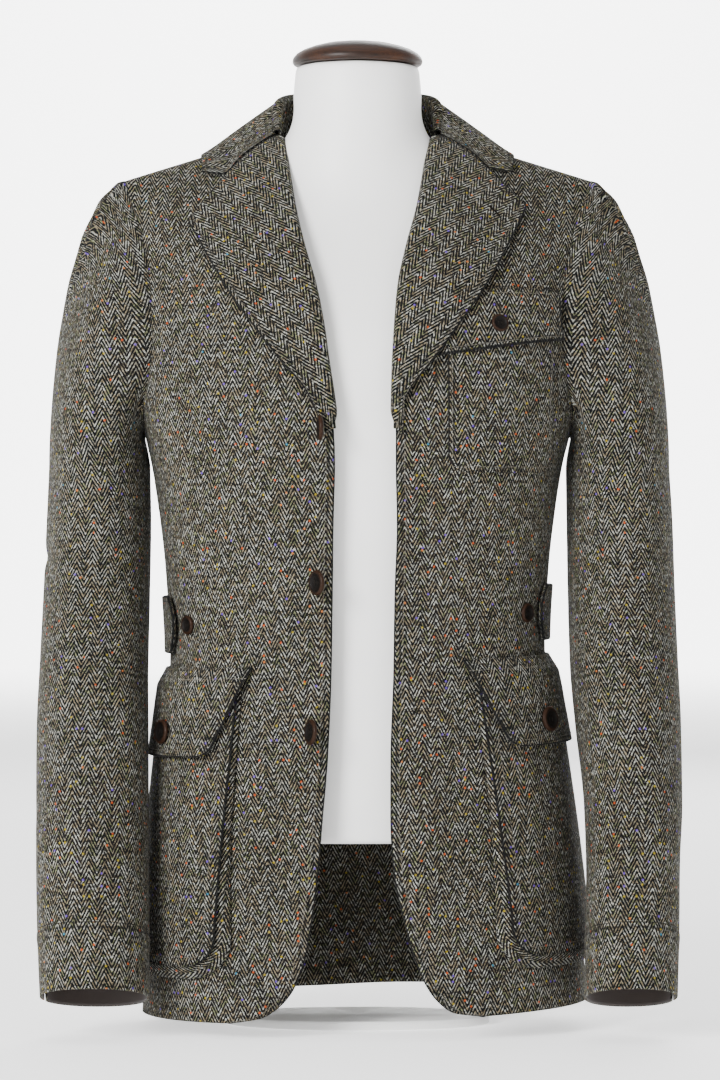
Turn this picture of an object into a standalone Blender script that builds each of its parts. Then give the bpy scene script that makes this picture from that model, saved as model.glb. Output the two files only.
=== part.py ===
"""Safari jacket of tweed, hanging open on a limbless dress form.

Tables and sizes are in millimetres and the meshes in metres. +Z is up, the front faces -Y and +X is the
wearer's left. The cloth is placed on one body surface: 'turn' runs from 0 at the centre front over 1 at the
side to 2 at the centre back, and 'rise' is the height over the chest line up to RISE at the shoulder ridge.
"""

import math

import bmesh
import bpy
import numpy as np
from mathutils import Matrix, Vector

MM = 0.001
LEFT = 1
RIGHT = -1
SIDE_NAMES = {LEFT: "left", RIGHT: "right"}

CLOTH = 2.0
BELT_CLOTH = 3.4
SEAM = 0.3
LAP = CLOTH + 0.9

CHEST = 545.0
RISE = 350.0
SHOULDER = RISE - 2.2
SQUARE = 2.4
TIP = 206.0
FRONT_FILL = (0.4, 2.4)
BACK_FILL = (0.6, 2.0)
HITCH = 6.0


def table(names, rows):
    """Columns of a section table, by name."""
    return dict(zip(names.split(), np.array(rows, float).T))


RINGS = table(
    "level half front back shift",
    [
        (12, 195.0, 140, 135, 7.0),
        (147, 184.0, 135, 130, 4.0),
        (287, 168.0, 128, 121, 1.0),
        (327, 163.5, 123, 109, 0.0),
        (397, 167.0, 124, 108, 0.0),
        (480, 177.5, 129, 116, 0.0),
        (522, 187.0, 131, 122, 0.0),
        (545, 194.0, 131, 124, 0.0),
    ],
)
RIDGE = table("x y z", [(0, 10, 782), (72, 10, 782), (139, 6, 760.7), (206, 0, 739.4)])
NAPE = table(
    "x y z",
    [
        (0, 66, 778),
        (30, 61, 778.4),
        (50, 48, 779.4),
        (62, 32, 780.6),
        (72, 11, 781.8),
        (139, 6, 760.7),
        (206, 0, 739.4),
    ],
)
FRONT = table(
    "edge_right edge_left edge_z seam rise",
    [
        (108.0, 106.0, 17.5, 1.340, -524),
        (83.5, 83.0, 21.5, 1.340, -520),
        (67.0, 69.5, 31.0, 1.340, -512),
        (54.5, 58.5, 46.0, 1.340, -499),
        (46.3, 50.0, 66.0, 1.340, -479),
        (38.6, 38.8, 105.0, 1.340, -440),
        (33.2, 30.5, 147.0, 1.340, -398),
        (29.8, 28.4, 190.0, 1.335, -355),
        (25.5, 28.5, 240.0, 1.330, -305),
        (22.5, 31.0, 311.0, 1.310, -234),
        (21.5, 32.0, 377.0, 1.260, -168),
        (20.8, 34.0, 437.0, 1.190, -108),
        (19.5, 33.0, 487.0, 1.120, -56),
        (20.5, 33.0, 517.0, 1.060, -28),
        (23.0, 33.6, 537.0, 0.860, -20),
        (25.6, 34.0, 555.0, 0.740, 4),
        (29.0, 34.7, 577.0, 0.680, 30),
        (33.2, 36.5, 607.0, 0.650, 60),
        (40.0, 39.5, 642.0, 0.645, 95),
        (50.3, 47.0, 678.0, 0.660, 134),
        (57.5, 55.3, 709.0, 0.690, 172),
        (62.0, 60.3, 734.0, 0.725, 207),
        (66.0, 64.5, 759.0, 0.790, 251),
        (70.0, 70.0, 782.0, 0.900, 347.8),
    ],
)
ARMHOLE_ROW = 13
BACK = table(
    "seam rise",
    [
        (1.340, -524),
        (1.340, -479),
        (1.340, -398),
        (1.330, -305),
        (1.310, -234),
        (1.260, -168),
        (1.190, -108),
        (1.120, -56),
        (1.060, -28),
        (1.120, -20),
        (1.190, 4),
        (1.245, 30),
        (1.280, 60),
        (1.300, 95),
        (1.305, 134),
        (1.290, 172),
        (1.265, 207),
        (1.210, 251),
        (1.100, 347.8),
    ],
)
BACK_ARMHOLE_ROW = 8

SLEEVE = table(
    "fall level out_right in_right out_left in_left depth middle pitch seam",
    [
        (0, 487, 270.0, 183.5, 273.0, 184.5, 76, 2, 0.00, 15),
        (50, 437, 272.0, 182.5, 275.7, 185.0, 73, -2, 0.03, 15),
        (110, 377, 274.0, 183.0, 277.0, 185.5, 69, -12, 0.10, 13),
        (170, 317, 276.0, 183.5, 278.5, 186.5, 64, -28, 0.18, 8),
        (220, 267, 277.0, 182.5, 279.5, 190.0, 60, -48, 0.24, 2),
        (290, 197, 276.0, 181.0, 279.0, 196.5, 55, -70, 0.27, -8),
        (340, 147, 275.0, 180.0, 276.0, 197.5, 52, -84, 0.27, -14),
        (397, 90, 273.0, 179.0, 274.4, 196.0, 49, -98, 0.27, -18),
        (452, 35, 269.8, 178.5, 272.0, 194.5, 48, -111, 0.27, -20),
    ],
)
SLEEVE_SQUARE = 2.2
INNER_SEAM = 188.0
CUFF_FALL = 397.0
CUFF_END = 452.0
HEAD_OUT = 0.48
HEAD_DOWN = 1.35

LAPEL = table(
    "roll_z out_x out_z",
    [
        (520, 30, 514),
        (538, 34, 533),
        (560, 44, 553),
        (590, 64, 577),
        (622, 85, 605),
        (655, 106, 635),
        (688, 123, 664),
        (720, 136, 688),
        (752, 143, 701),
        (776, 145, 706),
    ],
)
LAPEL_ROLL = 4.6
LAPEL_LIFT = 6.0

COLLAR = table(
    "base_x base_y base_z fold_x fold_y fold_z out_x out_rise bulge",
    [
        (68.0, 6, 781.5, 70.5, 3, 786, 134, 257, 0.0),
        (69.5, 10, 785, 71.0, 9, 800, 136, 310, 0.5),
        (70.0, 17, 785, 70.0, 17, 812, 131, 332, 1.0),
        (61.0, 34, 782.5, 63.0, 34, 819, 106, 296, 3.0),
        (38.0, 57, 781.5, 40.0, 57, 823, 60, 280, 4.0),
        (0.0, 66.5, 780.5, 0.0, 66.5, 824, 0, 267, 4.0),
    ],
)
GORGE = table("along share", [(0.17, 0.2), (0.37, 0.43), (0.57, 0.66)])
GORGE_GAP = 6.0
COLLAR_ROLL = 3.6

CHEST_POCKET = {"inner": 77.0, "outer": 167.0, "bottom": 482.0, "top": 628.0, "corner": 16.0}
CHEST_FLAP = {"inner": 67.0, "outer": 171.0, "top": 640.0, "low": 581.0, "slope": 0.146}
POCKET = {"front": 0.385, "back": 1.10, "top": -242.0, "bottom": -480.0, "corner": 24.0}
FLAP = {"front": 0.345, "slant": 0.115, "back": 1.12, "top": -226.0, "bottom": -302.0, "corner": 9.0}
BELT = {"front": 0.705, "level": -188.0, "half": 24.0, "button": 0.63}

FRONT_BUTTONS = [
    ("top", 28.5, 520, -64, 11.2),
    ("middle", 32.0, 390, -52, 8.7),
    ("bottom", 36.5, 263, -60, 8.7),
]
CHEST_BUTTON = {"x": 118.4, "z": 608.0, "lift": 7.4}
FLAP_BUTTONS = {LEFT: (0.63, -281.0, 15.5), RIGHT: (0.68, -281.0, 14.4)}
BUTTON = {"front": (11.0, 4.4), "chest": (7.7, 3.6), "flap": (11.0, 4.4), "belt": (8.4, 3.8)}

FORM_RINGS = table(
    "level half front back",
    [
        (165, 150, 108, 96),
        (215, 154, 110, 100),
        (287, 151, 107, 94),
        (327, 147, 104, 90),
        (397, 152, 106, 92),
        (480, 163, 112, 102),
        (522, 171, 115, 108),
        (545, 176, 116, 110),
    ],
)
FORM_RIDGE = table(
    "x y z",
    [(0, 10, 770), (70, 10, 772), (92, 9.2, 773.8), (139, 6, 758.8), (206, 0, 737.5)],
)
FORM_TIP = 197.0
NECK = [(0, 690), (58, 690), (58.5, 750), (58, 785), (57, 805), (56, 822), (54, 841.7), (0, 841.7)]
CAP = [(0, 842), (55.5, 842), (57.3, 845), (56.5, 849), (48, 855.5), (30, 861), (12, 863), (0, 863.2)]
BASE = [(0, 0), (114, 0), (116, 1.5), (116, 6.5), (114, 8), (0, 8)]
BASE_DEPTH = 0.5
LEG_X = 96.0
LEG_RADIUS = 8.0


def smooth(keys, values, at):
    """Monotone cubic through (keys, values), read at the places given."""
    keys, values = np.asarray(keys, float), np.asarray(values, float)
    at = np.clip(at, keys[0], keys[-1])
    step = np.diff(keys)
    slope = np.diff(values) / step
    tangent = np.concatenate([slope[:1], np.zeros(len(slope) - 1), slope[-1:]])
    same = slope[:-1] * slope[1:] > 0
    tangent[1:-1][same] = 2 * slope[:-1][same] * slope[1:][same] / (slope[:-1][same] + slope[1:][same])
    i = np.clip(np.searchsorted(keys, at, side="right") - 1, 0, len(step) - 1)
    t = (at - keys[i]) / step[i]
    ends = values[i] * (1 + 2 * t) * (1 - t) ** 2 + values[i + 1] * t * t * (3 - 2 * t)
    return ends + step[i] * t * (1 - t) * (tangent[i] * (1 - t) - tangent[i + 1] * t)


def column(sections, name, at):
    """A column of a section table, read against the table's first column."""
    return smooth(next(iter(sections.values())), sections[name], at)


def row(sections, name, at):
    """A column of a section table, read against the row number."""
    return smooth(np.arange(len(sections[name])), sections[name], at)


def section(turn):
    """Unit section of the body: distance to the side and distance ahead."""
    angle = np.asarray(turn, float) * math.pi / 2
    across, ahead = np.sin(angle), np.cos(angle)
    size = (np.abs(across) ** SQUARE + np.abs(ahead) ** SQUARE) ** (1 / SQUARE)
    return across / size, ahead / size


def fill(out, law):
    """How far a shoulder section has reached from the ridge to the chest."""
    return law[0] * out + (1 - law[0]) * out ** law[1]


def body(side, turn, rise):
    """Middle surface of the jacket's fronts and back."""
    turn, rise = np.broadcast_arrays(np.asarray(turn, float), np.asarray(rise, float))
    across, ahead = section(turn)
    facing = ahead > 0
    level = CHEST + np.minimum(rise, 0)
    lean = np.clip(rise, 0, RISE) / RISE * math.pi / 2
    up, out = np.sin(lean), np.cos(lean)
    half = column(RINGS, "half", level)
    half = half + (TIP - half) * up
    x = half * across
    chest_y = -ahead * np.where(facing, column(RINGS, "front", level), column(RINGS, "back", level))
    ridge_y = np.where(facing, column(RIDGE, "y", x), column(NAPE, "y", x))
    ridge_z = np.where(facing, column(RIDGE, "z", x), column(NAPE, "z", x))
    reach = np.where(facing, fill(out, FRONT_FILL), fill(out, BACK_FILL))
    y = ridge_y + (chest_y - ridge_y) * reach
    z = level + (ridge_z - CHEST) * up
    hitch = HITCH * np.clip((CHEST - 30 - z) / 150, 0, 1)
    return np.stack([side * x + column(RINGS, "shift", level), y, z + side * across * hitch], -1)


def body_normal(side, turn, rise):
    """Outward normal of the body surface."""
    turn, rise = np.broadcast_arrays(np.asarray(turn, float), np.asarray(rise, float))
    high = np.minimum(rise + 0.5, RISE)
    along = body(side, turn + 1e-3, rise) - body(side, turn - 1e-3, rise)
    upward = body(side, turn, high) - body(side, turn, high - 1.0)
    normal = side * np.cross(along, upward)
    return normal / np.linalg.norm(normal, axis=-1, keepdims=True)


def over(side, turn, rise, lift):
    """Point of the body surface moved out by 'lift'."""
    return body(side, turn, rise) + body_normal(side, turn, rise) * np.asarray(lift)[..., None]


def place(side, x, z):
    """Turn and rise of a point of the front, given its distance from the centre and its height."""
    x, z = np.broadcast_arrays(np.asarray(x, float), np.asarray(z, float))
    level = np.minimum(z, CHEST)
    x = x - side * column(RINGS, "shift", level)
    up = np.clip((z - CHEST) / (column(RIDGE, "z", x) - CHEST), 0, 1)
    rise = np.where(z > CHEST, np.arcsin(up) * RISE * 2 / math.pi, z - CHEST)
    half = column(RINGS, "half", level)
    across = np.clip(x / (half + (TIP - half) * up), 0.0, 0.9995)
    return np.arctan2(across, (1 - across**SQUARE) ** (1 / SQUARE)) * 2 / math.pi, rise


def spread(count, edge):
    """Even steps from 0 to 1 with a narrow first and last step."""
    return np.concatenate([[0.0], np.linspace(edge, 1 - edge, count - 1), [1.0]])


def collection(name, cutters=False):
    """Collection of the object, or of its cutters."""
    group = bpy.data.collections.new(name)
    bpy.context.scene.collection.children.link(group)
    group.hide_render = cutters
    return group


def material(name, colour, roughness):
    """Plain Principled material."""
    finish = bpy.data.materials.new(name)
    finish.use_nodes = True
    shader = finish.node_tree.nodes["Principled BSDF"]
    shader.inputs["Base Color"].default_value = (*colour, 1.0)
    shader.inputs["Roughness"].default_value = roughness
    return finish


def add(name, mesh, group, finish):
    """Named object with its own material in the collection given."""
    thing = bpy.data.objects.new(name, mesh)
    mesh.materials.append(finish)
    group.objects.link(thing)
    return thing


def sheet(name, points, wall, group, finish):
    """Open cloth surface through a grid of points, thickened both ways."""
    rows, across = points.shape[:2]
    bm = bmesh.new()
    bmesh.ops.create_grid(bm, x_segments=across - 1, y_segments=rows - 1, size=1)
    for vertex in bm.verts:
        i = round((vertex.co.x + 1) / 2 * (across - 1))
        j = round((vertex.co.y + 1) / 2 * (rows - 1))
        vertex.co = Vector(points[j, i] * MM)
    mesh = bpy.data.meshes.new(name)
    bm.to_mesh(mesh)
    bm.free()
    thing = add(name, mesh, group, finish)
    solid = thing.modifiers.new("Solidify", "SOLIDIFY")
    solid.thickness = wall * MM
    solid.offset = 0.0
    solid.use_even_offset = True
    return thing


def turned(name, profile, steps, group, finish, where=Matrix.Identity(4)):
    """Solid of revolution from a profile of (radius, height) that starts and ends on the axis."""
    bm = bmesh.new()
    line = [bm.verts.new((r * MM, 0.0, z * MM)) for r, z in profile]
    for low, high in zip(line, line[1:]):
        bm.edges.new((low, high))
    bmesh.ops.spin(
        bm,
        geom=bm.verts[:] + bm.edges[:],
        cent=(0, 0, 0),
        axis=(0, 0, 1),
        angle=math.tau,
        steps=steps,
        use_duplicate=False,
    )
    bmesh.ops.remove_doubles(bm, verts=bm.verts, dist=1e-6)
    bmesh.ops.recalc_face_normals(bm, faces=bm.faces)
    bm.transform(where)
    mesh = bpy.data.meshes.new(name)
    bm.to_mesh(mesh)
    bm.free()
    return add(name, mesh, group, finish)


def seam_gap(rise):
    """Step that keeps front and back apart along the shoulder seam."""
    return np.clip(rise / SHOULDER, 0, 1)[..., None] ** 8 * np.array([0.0, SEAM, 0.0])


def front_grid(side, across, rows):
    """Front panel from the open edge and roll line to the side seam and armhole."""
    edge = row(FRONT, "edge_left" if side == LEFT else "edge_right", rows)
    turn_in, rise_in = place(side, edge, row(FRONT, "edge_z", rows))
    trim = np.where(rows > ARMHOLE_ROW + 0.5, 0.0016, 0.0006)
    turn_out, rise_out = row(FRONT, "seam", rows) - trim, row(FRONT, "rise", rows)
    turn = turn_in[:, None] + (turn_out - turn_in)[:, None] * across
    rise = rise_in[:, None] + (rise_out - rise_in)[:, None] * across
    rise = np.minimum(rise, SHOULDER)
    return body(side, turn, rise) - seam_gap(rise)


def back_grid(across, rows):
    """Back panel from side seam to side seam."""
    trim = np.where(rows > BACK_ARMHOLE_ROW + 0.5, 0.0016, 0.0006)
    span = (2 - row(BACK, "seam", rows) - trim)[:, None]
    rise = row(BACK, "rise", rows)[:, None]
    turn = 2 - np.abs(across) * span
    points = np.where((across < 0)[:, None], body(RIGHT, turn, rise), body(LEFT, turn, rise))
    return points + seam_gap(np.broadcast_to(rise, turn.shape))


def armhole(side, angle):
    """Armhole edge by angle: 0 at the shoulder, 90 in front, 180 under the arm, 270 behind."""
    share = np.linspace(1, 0, 161)
    ends = []
    for cut, low in ((FRONT, ARMHOLE_ROW), (BACK, BACK_ARMHOLE_ROW)):
        rows = low + (len(cut["rise"]) - 1 - low) * share
        turn, rise = row(cut, "seam", rows), row(cut, "rise", rows)
        length = np.linalg.norm(np.diff(body(side, turn, rise), axis=0), axis=1)
        ends.append((np.concatenate([[0], np.cumsum(length)]) / length.sum(), turn, rise))
    front = angle <= 180
    part = np.where(front, angle, 360 - angle) / 180
    turn = np.where(front, np.interp(part, *ends[0][:2]), np.interp(part, *ends[1][:2]))
    rise = np.where(front, np.interp(part, ends[0][0], ends[0][2]), np.interp(part, ends[1][0], ends[1][2]))
    return turn, rise


def sleeve_ring(side, angle, fall):
    """Point of the hanging sleeve by angle round it and length below the arm."""
    name = SIDE_NAMES[side]
    outer, inner = column(SLEEVE, "out_" + name, fall), column(SLEEVE, "in_" + name, fall)
    turn = np.radians(angle)
    across, ahead = np.cos(turn), np.sin(turn)
    size = (np.abs(across) ** SLEEVE_SQUARE + np.abs(ahead) ** SLEEVE_SQUARE) ** (1 / SLEEVE_SQUARE)
    x = (outer + inner) / 2 + (outer - inner) / 2 * across / size
    forward = column(SLEEVE, "depth", fall) * ahead / size
    y = column(SLEEVE, "middle", fall) - forward
    z = column(SLEEVE, "level", fall) + column(SLEEVE, "pitch", fall) * forward
    return np.stack([side * x, y, z], -1)


def sleeve_point(side, angle, run):
    """Sleeve surface: 'run' is 0 to 1 over the sleeve head and then the fall below the arm, plus 1."""
    angle, run = np.broadcast_arrays(np.asarray(angle, float), np.asarray(run, float))
    wrapped = np.mod(angle, 360)
    turn, rise = armhole(side, wrapped)
    facing = np.cos(np.radians(wrapped)) ** 2
    start = over(side, turn, rise, 1.7 + 1.3 * facing)
    end = sleeve_ring(side, wrapped, np.zeros_like(run))
    reach = np.linalg.norm(end - start, axis=-1, keepdims=True)
    leave = body_normal(side, turn, rise) * (0.8 * (1 - facing))[..., None] + np.array([side, 0.0, -0.3])
    leave = leave / np.linalg.norm(leave, axis=-1, keepdims=True) * reach * HEAD_OUT
    arrive = np.array([0.0, 0.0, -1.0]) * reach * HEAD_DOWN
    t = np.clip(run, 0, 1)[..., None]
    head = start * (1 + 2 * t) * (1 - t) ** 2 + end * t * t * (3 - 2 * t)
    head = head + leave * t * (1 - t) ** 2 - arrive * t * t * (1 - t)
    return np.where(run[..., None] <= 1, head, sleeve_ring(side, wrapped, np.maximum(run - 1, 0)))


def sleeve_grid(side, under, around, runs):
    """Top or under half of a sleeve, between the hind seam and the inner seam."""
    seam = (column(SLEEVE, "seam", np.maximum(runs - 1, 0)) * np.clip(runs, 0, 1))[:, None]
    gap = 0.2 + 0.4 * np.clip(1 - runs, 0, 1)[:, None]
    low, high = (INNER_SEAM + gap, seam + 360 - gap) if under else (seam + gap, INNER_SEAM - gap)
    return sleeve_point(side, low + (high - low) * around, runs[:, None])


def cuff_grid(side, around, runs):
    """Cuff band, open at the vent that ends the hind seam."""
    seam = column(SLEEVE, "seam", runs - 1)[:, None]
    vent = 0.6 + 4.0 * ((runs - 1 - CUFF_FALL) / (CUFF_END - CUFF_FALL))[:, None] ** 2
    return sleeve_point(side, seam + vent + (360 - 2 * vent) * around, runs[:, None])


def lapel_grid(side, across, rows):
    """Lapel: a roll round the front's edge, then the flat part over the chest."""
    roll_z = row(LAPEL, "roll_z", rows)
    name = "edge_left" if side == LEFT else "edge_right"
    roll_x = smooth(FRONT["edge_z"], FRONT[name], roll_z)
    lift_top = side * LAPEL_LIFT * np.clip((roll_z - 560) / 200, 0, 1)
    out_x = np.maximum(row(LAPEL, "out_x", rows), roll_x + 5)
    turn_in, rise_in = place(side, roll_x, roll_z)
    turn_out, rise_out = place(side, out_x, row(LAPEL, "out_z", rows) + lift_top)
    flat = np.clip(across, 0, 1)
    turn = turn_in[:, None] + (turn_out - turn_in)[:, None] * flat
    rise = rise_in[:, None] + (rise_out - rise_in)[:, None] * flat
    over_pocket = np.exp(-(((row(LAPEL, "out_z", rows) - 612) / 62) ** 4)) * (5.4 if side == LEFT else 0.0)
    rest = LAP + over_pocket[:, None] * np.clip(flat * 2.5, 0, 1)
    lift = rest + (LAPEL_ROLL - LAP) * (1 - flat) ** 4
    laid = over(side, turn, rise, lift)
    edge = body(side, turn_in, rise_in)[:, None]
    normal = body_normal(side, turn_in, rise_in)[:, None]
    inward = body(side, turn_in - 2e-3, rise_in) - body(side, turn_in + 2e-3, rise_in)
    inward = (inward / np.linalg.norm(inward, axis=-1, keepdims=True))[:, None]
    swing = np.radians(90 + np.minimum(across, 0) * 155)[None, :, None]
    rolled = edge + LAPEL_ROLL * (np.cos(swing) * inward + np.sin(swing) * normal)
    return np.where((across < 0)[None, :, None], rolled, laid)


def collar_station(side, at):
    """Base, fold and outer edge of the collar at a row of its table."""
    base, fold = (
        np.stack([row(COLLAR, f"{line}_{axis}", at) for axis in "xyz"], -1) * [side, 1, 1]
        for line in ("base", "fold")
    )
    ahead = np.append(at, [0, 1, 2])
    x, rise = row(COLLAR, "out_x", ahead), row(COLLAR, "out_rise", ahead)
    half = x / (RINGS["half"][-1] + (TIP - RINGS["half"][-1]) * np.sin(rise / RISE * math.pi / 2))
    turn = np.arctan2(half, (1 - half**SQUARE) ** (1 / SQUARE)) * 2 / math.pi
    laid = over(side, np.where(ahead > 1.5, 2 - turn, turn), rise, LAP + 1.6)
    crossing = np.stack([smooth(np.arange(3), laid[-3:, i], at) for i in range(3)], -1)
    outer = np.where((at < 2)[:, None], crossing, laid[:-3])
    return base, fold, outer, row(COLLAR, "bulge", at)


def gorge(side, along):
    """Point of the seam between lapel and collar, just above the lapel's top edge."""
    turn_in, rise_in = place(side, 70.0, LAPEL["roll_z"][-1])
    turn_out, rise_out = place(side, LAPEL["out_x"][-1], LAPEL["out_z"][-1] + side * LAPEL_LIFT)
    rise = rise_in + (rise_out - rise_in) * along + GORGE_GAP
    return over(side, turn_in + (turn_out - turn_in) * along, rise, np.array(LAP + 0.9))


def through(points, share):
    """Smooth curve through the fold, the places along the gorge and the edge of the fall."""
    stops = [0.0, *GORGE["share"], 1.0]
    return np.stack([smooth(stops, [point[i] for point in points], share) for i in range(3)], -1)


def collar_grid(across, rows):
    """Collar from the stand over the fold to the edge of the fall, from one front end to the other."""
    parts = []
    for side, at in ((RIGHT, rows), (LEFT, rows[::-1][1:])):
        base, fold, outer, bulge = collar_station(side, at)
        end = np.clip(1 - at, 0, 1)[:, None] ** 1.5
        away = (outer - base) * [1, 1, 0]
        away = (away / np.linalg.norm(away, axis=-1, keepdims=True))[:, None]
        up = np.array([0.0, 0.0, 1.0])
        hub = fold[:, None] - up * COLLAR_ROLL
        w = across[None, :, None]
        swing = np.clip(w, 0, 1) * math.pi
        arc = hub + COLLAR_ROLL * (up * np.sin(swing) - away * np.cos(swing))
        stand = arc + (base[:, None] - arc) * np.clip(-w, 0, 1)
        q = np.clip(across - 1, 0, 1)
        edge = hub[:, 0] + COLLAR_ROLL * away[:, 0]
        stops = []
        for along, share in zip(GORGE["along"], GORGE["share"]):
            stop = edge + (outer - edge) * share + up * bulge[:, None] * math.sin(share * math.pi)
            stops.append(stop + (gorge(side, along) - stop) * end)
        drape = np.stack([through(points, q) for points in zip(edge, *stops, outer)])
        parts.append(np.where(w < 0, stand, np.where(w <= 1, arc, drape)))
    return np.concatenate(parts)


def chest_pocket_grid(across, down):
    """Chest patch with rounded lower corners."""
    size = CHEST_POCKET
    z = size["top"] + (size["bottom"] - size["top"]) * down
    near = np.clip(size["corner"] - (z - size["bottom"]), 0, size["corner"])
    inset = size["corner"] - np.sqrt(size["corner"] ** 2 - near**2)
    low, high = size["inner"] + inset, size["outer"] - inset
    turn, rise = place(LEFT, low[:, None] + (high - low)[:, None] * across, z[:, None])
    return over(LEFT, turn, rise, np.full(turn.shape, LAP))


def chest_flap_grid(across, down):
    """Chest flap with a slanting lower edge, over the patch and under the lapel."""
    size = CHEST_FLAP
    x = size["inner"] + (size["outer"] - size["inner"]) * across
    low = size["low"] + size["slope"] * (x - size["inner"])
    z = size["top"] + (low - size["top"]) * down[:, None]
    turn, rise = place(LEFT, np.broadcast_to(x, z.shape), z)
    flare = 2.0 * down[:, None] ** 3 * np.clip(across * 2 - 0.6, 0, 1)
    return over(LEFT, turn, rise, LAP + 2.6 * np.clip(down * 5, 0, 1)[:, None] + flare)


def pocket_outline(down):
    """Front and back edge of the pocket face down its length, as turn, and its rise."""
    rise = POCKET["top"] + (POCKET["bottom"] - POCKET["top"]) * down
    near = np.clip(POCKET["corner"] - (rise - POCKET["bottom"]), 0, POCKET["corner"])
    inset = (POCKET["corner"] - np.sqrt(POCKET["corner"] ** 2 - near**2)) / 250
    return POCKET["front"] + 0.03 * down + inset, POCKET["back"] - inset, rise


def pocket_lift(turn, down):
    """How far the pocket face stands off the front."""
    swell = 8.0 * np.sin(np.clip(down, 0, 1) * math.pi / 2)
    return 6.5 + swell * (1 - 0.8 * np.clip((turn - 0.5) / 0.3, 0, 1))


def pocket_grid(side, across, down):
    """Face of a lower pocket."""
    front, back, rise = pocket_outline(down)
    turn = front[:, None] + (back - front)[:, None] * across
    rise = np.broadcast_to(rise[:, None], turn.shape)
    return over(side, turn, rise, pocket_lift(turn, down[:, None]))


def gusset_grid(side, along, depth):
    """Folded bellows down the front edge, round the bottom and up the back edge of a lower pocket."""
    steps = np.linspace(0, 1, 60)
    front, back, rise = pocket_outline(steps)
    bottom = np.linspace(0, 1, 42)[1:-1]
    turn = np.concatenate([front, front[-1] + (back[-1] - front[-1]) * bottom, back[::-1]])
    height = np.concatenate([rise, np.full(40, rise[-1]), rise[::-1]])
    down = np.concatenate([steps, np.ones(40), steps[::-1]])
    length = np.concatenate([[0], np.cumsum(np.hypot(np.diff(turn) * 230, np.diff(height)))])
    at = along * length[-1]
    turn, height, down = (np.interp(at, length, values) for values in (turn, height, down))
    off_turn, off_rise = -np.gradient(height), np.gradient(turn * 230)
    size = np.hypot(off_turn, off_rise)
    off_turn, off_rise = -off_turn / size, -off_rise / size
    splay = 2 + 9 * down**3
    q = depth[None, :]
    out = -1.2 + splay[:, None] * (q + 0.25 * np.sin(q * math.pi))
    face = pocket_lift(turn, down)[:, None] - CLOTH - 0.9
    lift = face + (LAP - face) * q
    turn = turn[:, None] + off_turn[:, None] * out / 230
    return over(side, turn, height[:, None] + off_rise[:, None] * out, lift)


def flap_grid(side, across, down):
    """Flap of a lower pocket: slanting front end, flaring away from the body."""
    rise = FLAP["top"] + (FLAP["bottom"] - FLAP["top"]) * down
    near = np.clip(FLAP["corner"] - (rise - FLAP["bottom"]), 0, FLAP["corner"])
    inset = (FLAP["corner"] - np.sqrt(FLAP["corner"] ** 2 - near**2)) / 250
    front = FLAP["front"] + FLAP["slant"] * down + inset
    back = FLAP["back"] - inset
    turn = front[:, None] + (back - front)[:, None] * across
    rise = np.broadcast_to(rise[:, None], turn.shape)
    pocket_down = (rise - POCKET["top"]) / (POCKET["bottom"] - POCKET["top"])
    clear = pocket_lift(turn, pocket_down) + CLOTH + 1.2
    flare = 5.0 * (1 - 0.6 * np.clip((turn - 0.5) / 0.3, 0, 1)) * down[:, None] ** 1.5
    lift = LAP + 0.5 + (clear - LAP - 0.5) * np.clip(down * 5.0, 0, 1)[:, None] + flare
    return over(side, turn, rise, lift)


def belt_grid(across, up):
    """Half belt round the back, with rounded ends that show at the waist."""
    height = BELT["half"] * (2 * up - 1)
    ends = 0.05 * (height / BELT["half"]) ** 2
    front = BELT["front"] + ends
    turn = 2 - np.abs(across)[None, :] * (2 - front)[:, None]
    rise = np.broadcast_to(BELT["level"] + height[:, None], turn.shape)
    lift = np.full(turn.shape, CLOTH / 2 + BELT_CLOTH / 2 + 1.4)
    lift = lift + 2.2 * np.clip((1.0 - turn) / 0.3, 0, 1) ** 2
    left, right = over(LEFT, turn, rise, lift), over(RIGHT, turn, rise, lift)
    return np.where((across < 0)[None, :, None], right, left)


def button_profile(radius, height):
    """Dished button with a rounded rim."""
    return [
        (0, 0),
        (radius * 0.72, 0),
        (radius, height * 0.42),
        (radius * 0.94, height * 0.88),
        (radius * 0.78, height),
        (radius * 0.58, height * 0.68),
        (0, height * 0.6),
    ]


def facing_matrix(point, normal, yaw):
    """Placement with local Z along the normal, swung about the upright by yaw."""
    turn = Matrix.Rotation(math.radians(yaw), 4, "Z") @ Vector(normal).to_4d()
    z = Vector(turn[:3]).normalized()
    x = Vector((0, 0, 1)).cross(z).normalized()
    y = z.cross(x)
    frame = Matrix((x, y, z)).transposed().to_4x4()
    return Matrix.Translation(Vector(point) * MM) @ frame


def button(name, kind, side, turn, rise, lift, yaw, group, finish):
    """Button standing on the cloth at a place of the body surface."""
    radius, height = BUTTON[kind]
    point = over(side, np.array(turn), np.array(rise), np.array(lift))
    where = facing_matrix(point, body_normal(side, np.array(turn), np.array(rise)), yaw)
    return turned(name, button_profile(radius, height), 12, group, finish, where)


def form_point(side, turn, rise):
    """Surface of the dress form inside the jacket, touching distance below its shoulder ridge."""
    across, ahead = section(turn)
    level = CHEST + np.minimum(rise, 0)
    lean = np.clip(rise, 0, RISE) / RISE * math.pi / 2
    up, out = np.sin(lean), np.cos(lean)
    half = column(FORM_RINGS, "half", level)
    x = (half + (FORM_TIP - half) * up) * across
    depth = np.where(ahead > 0, column(FORM_RINGS, "front", level), column(FORM_RINGS, "back", level))
    chest_y = -ahead * depth
    ridge_y = column(FORM_RIDGE, "y", x)
    y = ridge_y + (chest_y - ridge_y) * np.where(ahead > 0, fill(out, FRONT_FILL), fill(out, BACK_FILL))
    return np.stack([side * x, y, level + (column(FORM_RIDGE, "z", x) - CHEST) * up], -1)


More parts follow.
